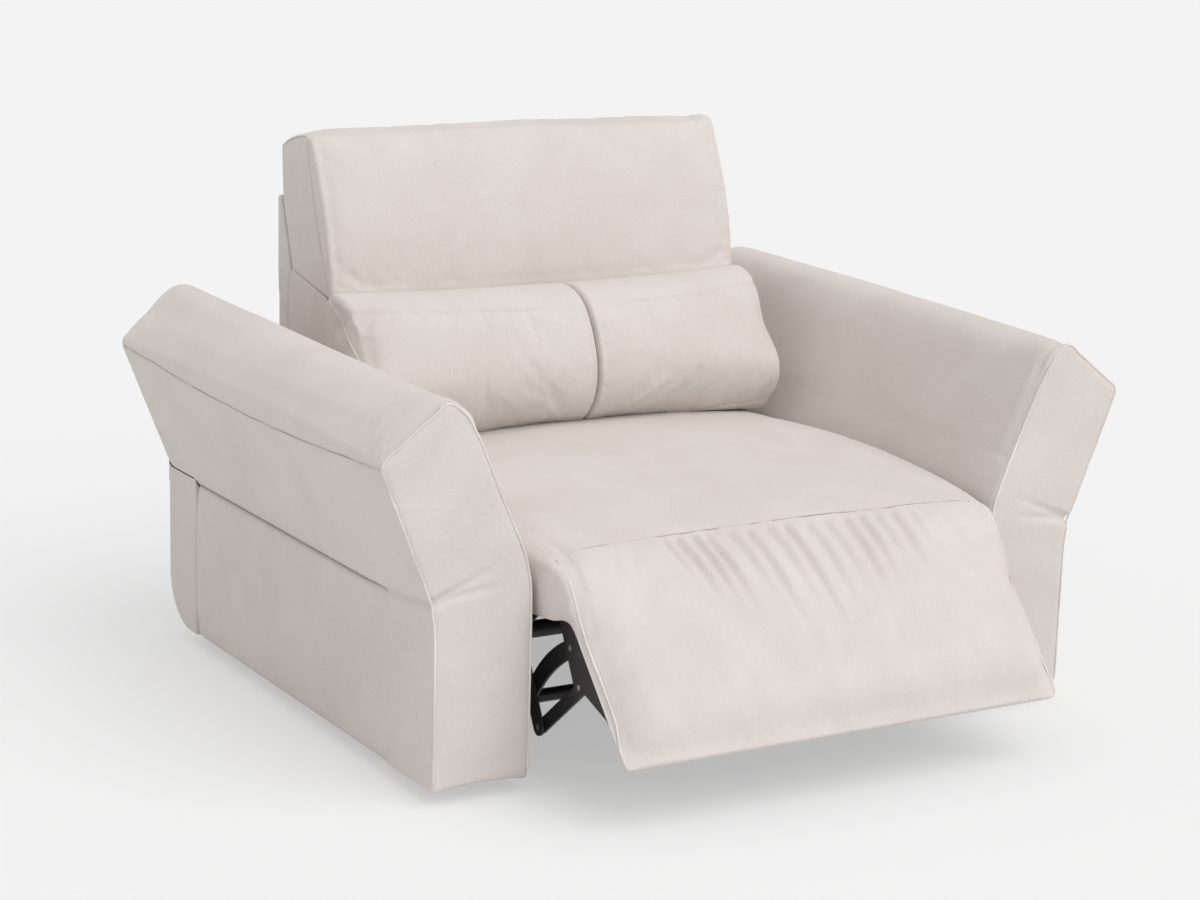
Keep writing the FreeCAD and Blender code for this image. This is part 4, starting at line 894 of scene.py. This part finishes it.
def puffSide(piece, solid, side, sign):
    # the outer side is flat and a little bowed, goes in behind the pillar and closes up to the pad
    co = getPoints(piece)
    co[:, 1] -= sideSet["tuck"] * (1 - smoothStep(*sideRange["tuckY"], co[:, 1]))
    setPoints(piece, co)
    low, top = (np.array(place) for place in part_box(solid + "_" + side))
    co = getPoints(piece)
    share = (co - low) / (top - low)
    flat = smoothStep(*sideRange["flatX"], np.abs(co[:, 0]))
    co[:, 0] += flat * (sign * sideSet["flat"] - co[:, 0])
    bow = 16 * share[:, 1] * (1 - share[:, 1]) * share[:, 2] * (1 - share[:, 2])
    co[:, 0] += sign * sideSet["puff"] * bow * smoothStep(*sideRange["puffX"], np.abs(co[:, 0]))
    rise = sideSet["rise"] + sideSet["endRise"] * (1 - smoothStep(*sideRange["endY"], co[:, 1]))
    co[:, 2] += rise * smoothStep(*sideRange["riseX"], np.abs(co[:, 0])) * smoothStep(*sideRange["riseZ"], co[:, 2])
    setPoints(piece, co)


for side, sign in (("right", 1), ("left", -1)):
    if side == "left":
        cover = mirrorCopy(cover, "armCover_left")
        frontWelt = mirrorCopy(frontWelt, "armFrontSeam_left")
        edgeSeam = mirrorCopy(edgeSeam, "armEdgeSeam_left")
    dress(cover, None, suede, ["arm_pad_" + side, "arm_front_pillar_" + side], armAcross(side, sign))
    # the arm's front welt carries the painted highlight colour
    dress(frontWelt, None, weltPaintedHighlight, across=armAcross(side, sign))
    # the arm's edge seam is a dark tube of painted shade
    dress(edgeSeam, None, seamPaintedShade, across=armAcross(side, sign))
    for solid, label, voxel in armBlocks:
        piece = softCopy(label + "_" + side, [solid + "_" + side], voxel)
        if label == "armSide":
            puffSide(piece, solid, side, sign)
        co = getPoints(piece)
        spare = np.maximum(np.abs(co[:, 0]) - sideSet["lip"], 0) * smoothStep(*sideRange["lipZ"], co[:, 2])
        setPoints(piece, co - np.outer(sign * spare, (1, 0, 0)))
        dress(piece, "base", suede, [solid + "_" + side])
print("arms made")


# Stage, light and camera
stageSet = dict(floor="#f1f1f1", glow=0.5, size=80.0, sky=0.65, sun=1.54, sunAngle=55.0, sunPlace=(2, -1, 4),
                sunWay=(-0.25, 0.62, -0.85))
bpy.ops.mesh.primitive_plane_add(size=stageSet["size"], location=(0, 0, 0))
floor = bpy.context.object
floor.name = "floor"
paper, tree, shader, place = startMaterial("paperFloor")
shader.inputs["Base Color"].default_value = hexColor(stageSet["floor"])
shader.inputs["Roughness"].default_value = 1.0
shader.inputs["Specular IOR Level"].default_value = 0.0
# half of the floor is seen as plain pale background, which keeps the shadow light
share = addNode(tree, "ShaderNodeMath", {0: seenRays(tree), 1: stageSet["glow"]}, operation="MULTIPLY")
glow = addNode(tree, "ShaderNodeEmission", {"Color": hexColor(stageSet["floor"]), "Strength": 1.0})
blend = addNode(tree, "ShaderNodeMixShader", {"Fac": share.outputs["Value"], 1: shader.outputs["BSDF"],
                                              2: glow.outputs["Emission"]})
tree.links.new(blend.outputs["Shader"], tree.nodes["Material Output"].inputs["Surface"])
floor.data.materials.append(paper)

world = bpy.data.worlds.new("studio")
bpy.context.scene.world = world
world.use_nodes = True
tree = world.node_tree
sky = tree.nodes["Background"]
sky.inputs["Color"].default_value = hexColor("#ffffff")
sky.inputs["Strength"].default_value = stageSet["sky"]
# past the floor's edge the same pale background is seen
backdrop = addNode(tree, "ShaderNodeBackground", {"Color": hexColor(stageSet["floor"]), "Strength": 1.0})
blend = addNode(tree, "ShaderNodeMixShader", {"Fac": seenRays(tree), 1: sky.outputs["Background"],
                                              2: backdrop.outputs["Background"]})
tree.links.new(blend.outputs["Shader"], tree.nodes["World Output"].inputs["Surface"])
bpy.ops.object.light_add(type="SUN", location=stageSet["sunPlace"])
sun = bpy.context.object
sun.data.energy = stageSet["sun"]
sun.data.angle = math.radians(stageSet["sunAngle"])
sun.rotation_euler = Vector(stageSet["sunWay"]).to_track_quat("-Z", "Y").to_euler()

# fitted to the photograph: place in m, turns in degrees, lens and sensor in mm
cameraSet = dict(place=(-2.7003, -4.3321, 1.6487), yaw=-31.036, pitch=13.236, roll=1.699, lens=85.43, sensor=36.0)
bpy.ops.object.camera_add(location=cameraSet["place"])
camera = bpy.context.object
camera.data.lens = cameraSet["lens"]
camera.data.sensor_width = cameraSet["sensor"]
yaw, pitch, roll = (math.radians(cameraSet[key]) for key in ("yaw", "pitch", "roll"))
back = Vector((math.sin(yaw) * math.cos(pitch), -math.cos(yaw) * math.cos(pitch), math.sin(pitch)))
right = (-back).cross(Vector((0, 0, 1))).normalized()
up = right.cross(-back)
tiltRight = right * math.cos(roll) + up * math.sin(roll)
tiltUp = up * math.cos(roll) - right * math.sin(roll)
turn = Matrix((tiltRight, tiltUp, back)).transposed()
camera.rotation_euler = turn.to_euler()
bpy.context.scene.camera = camera
bpy.context.scene.view_settings.view_transform = "Standard"

print("scene done")
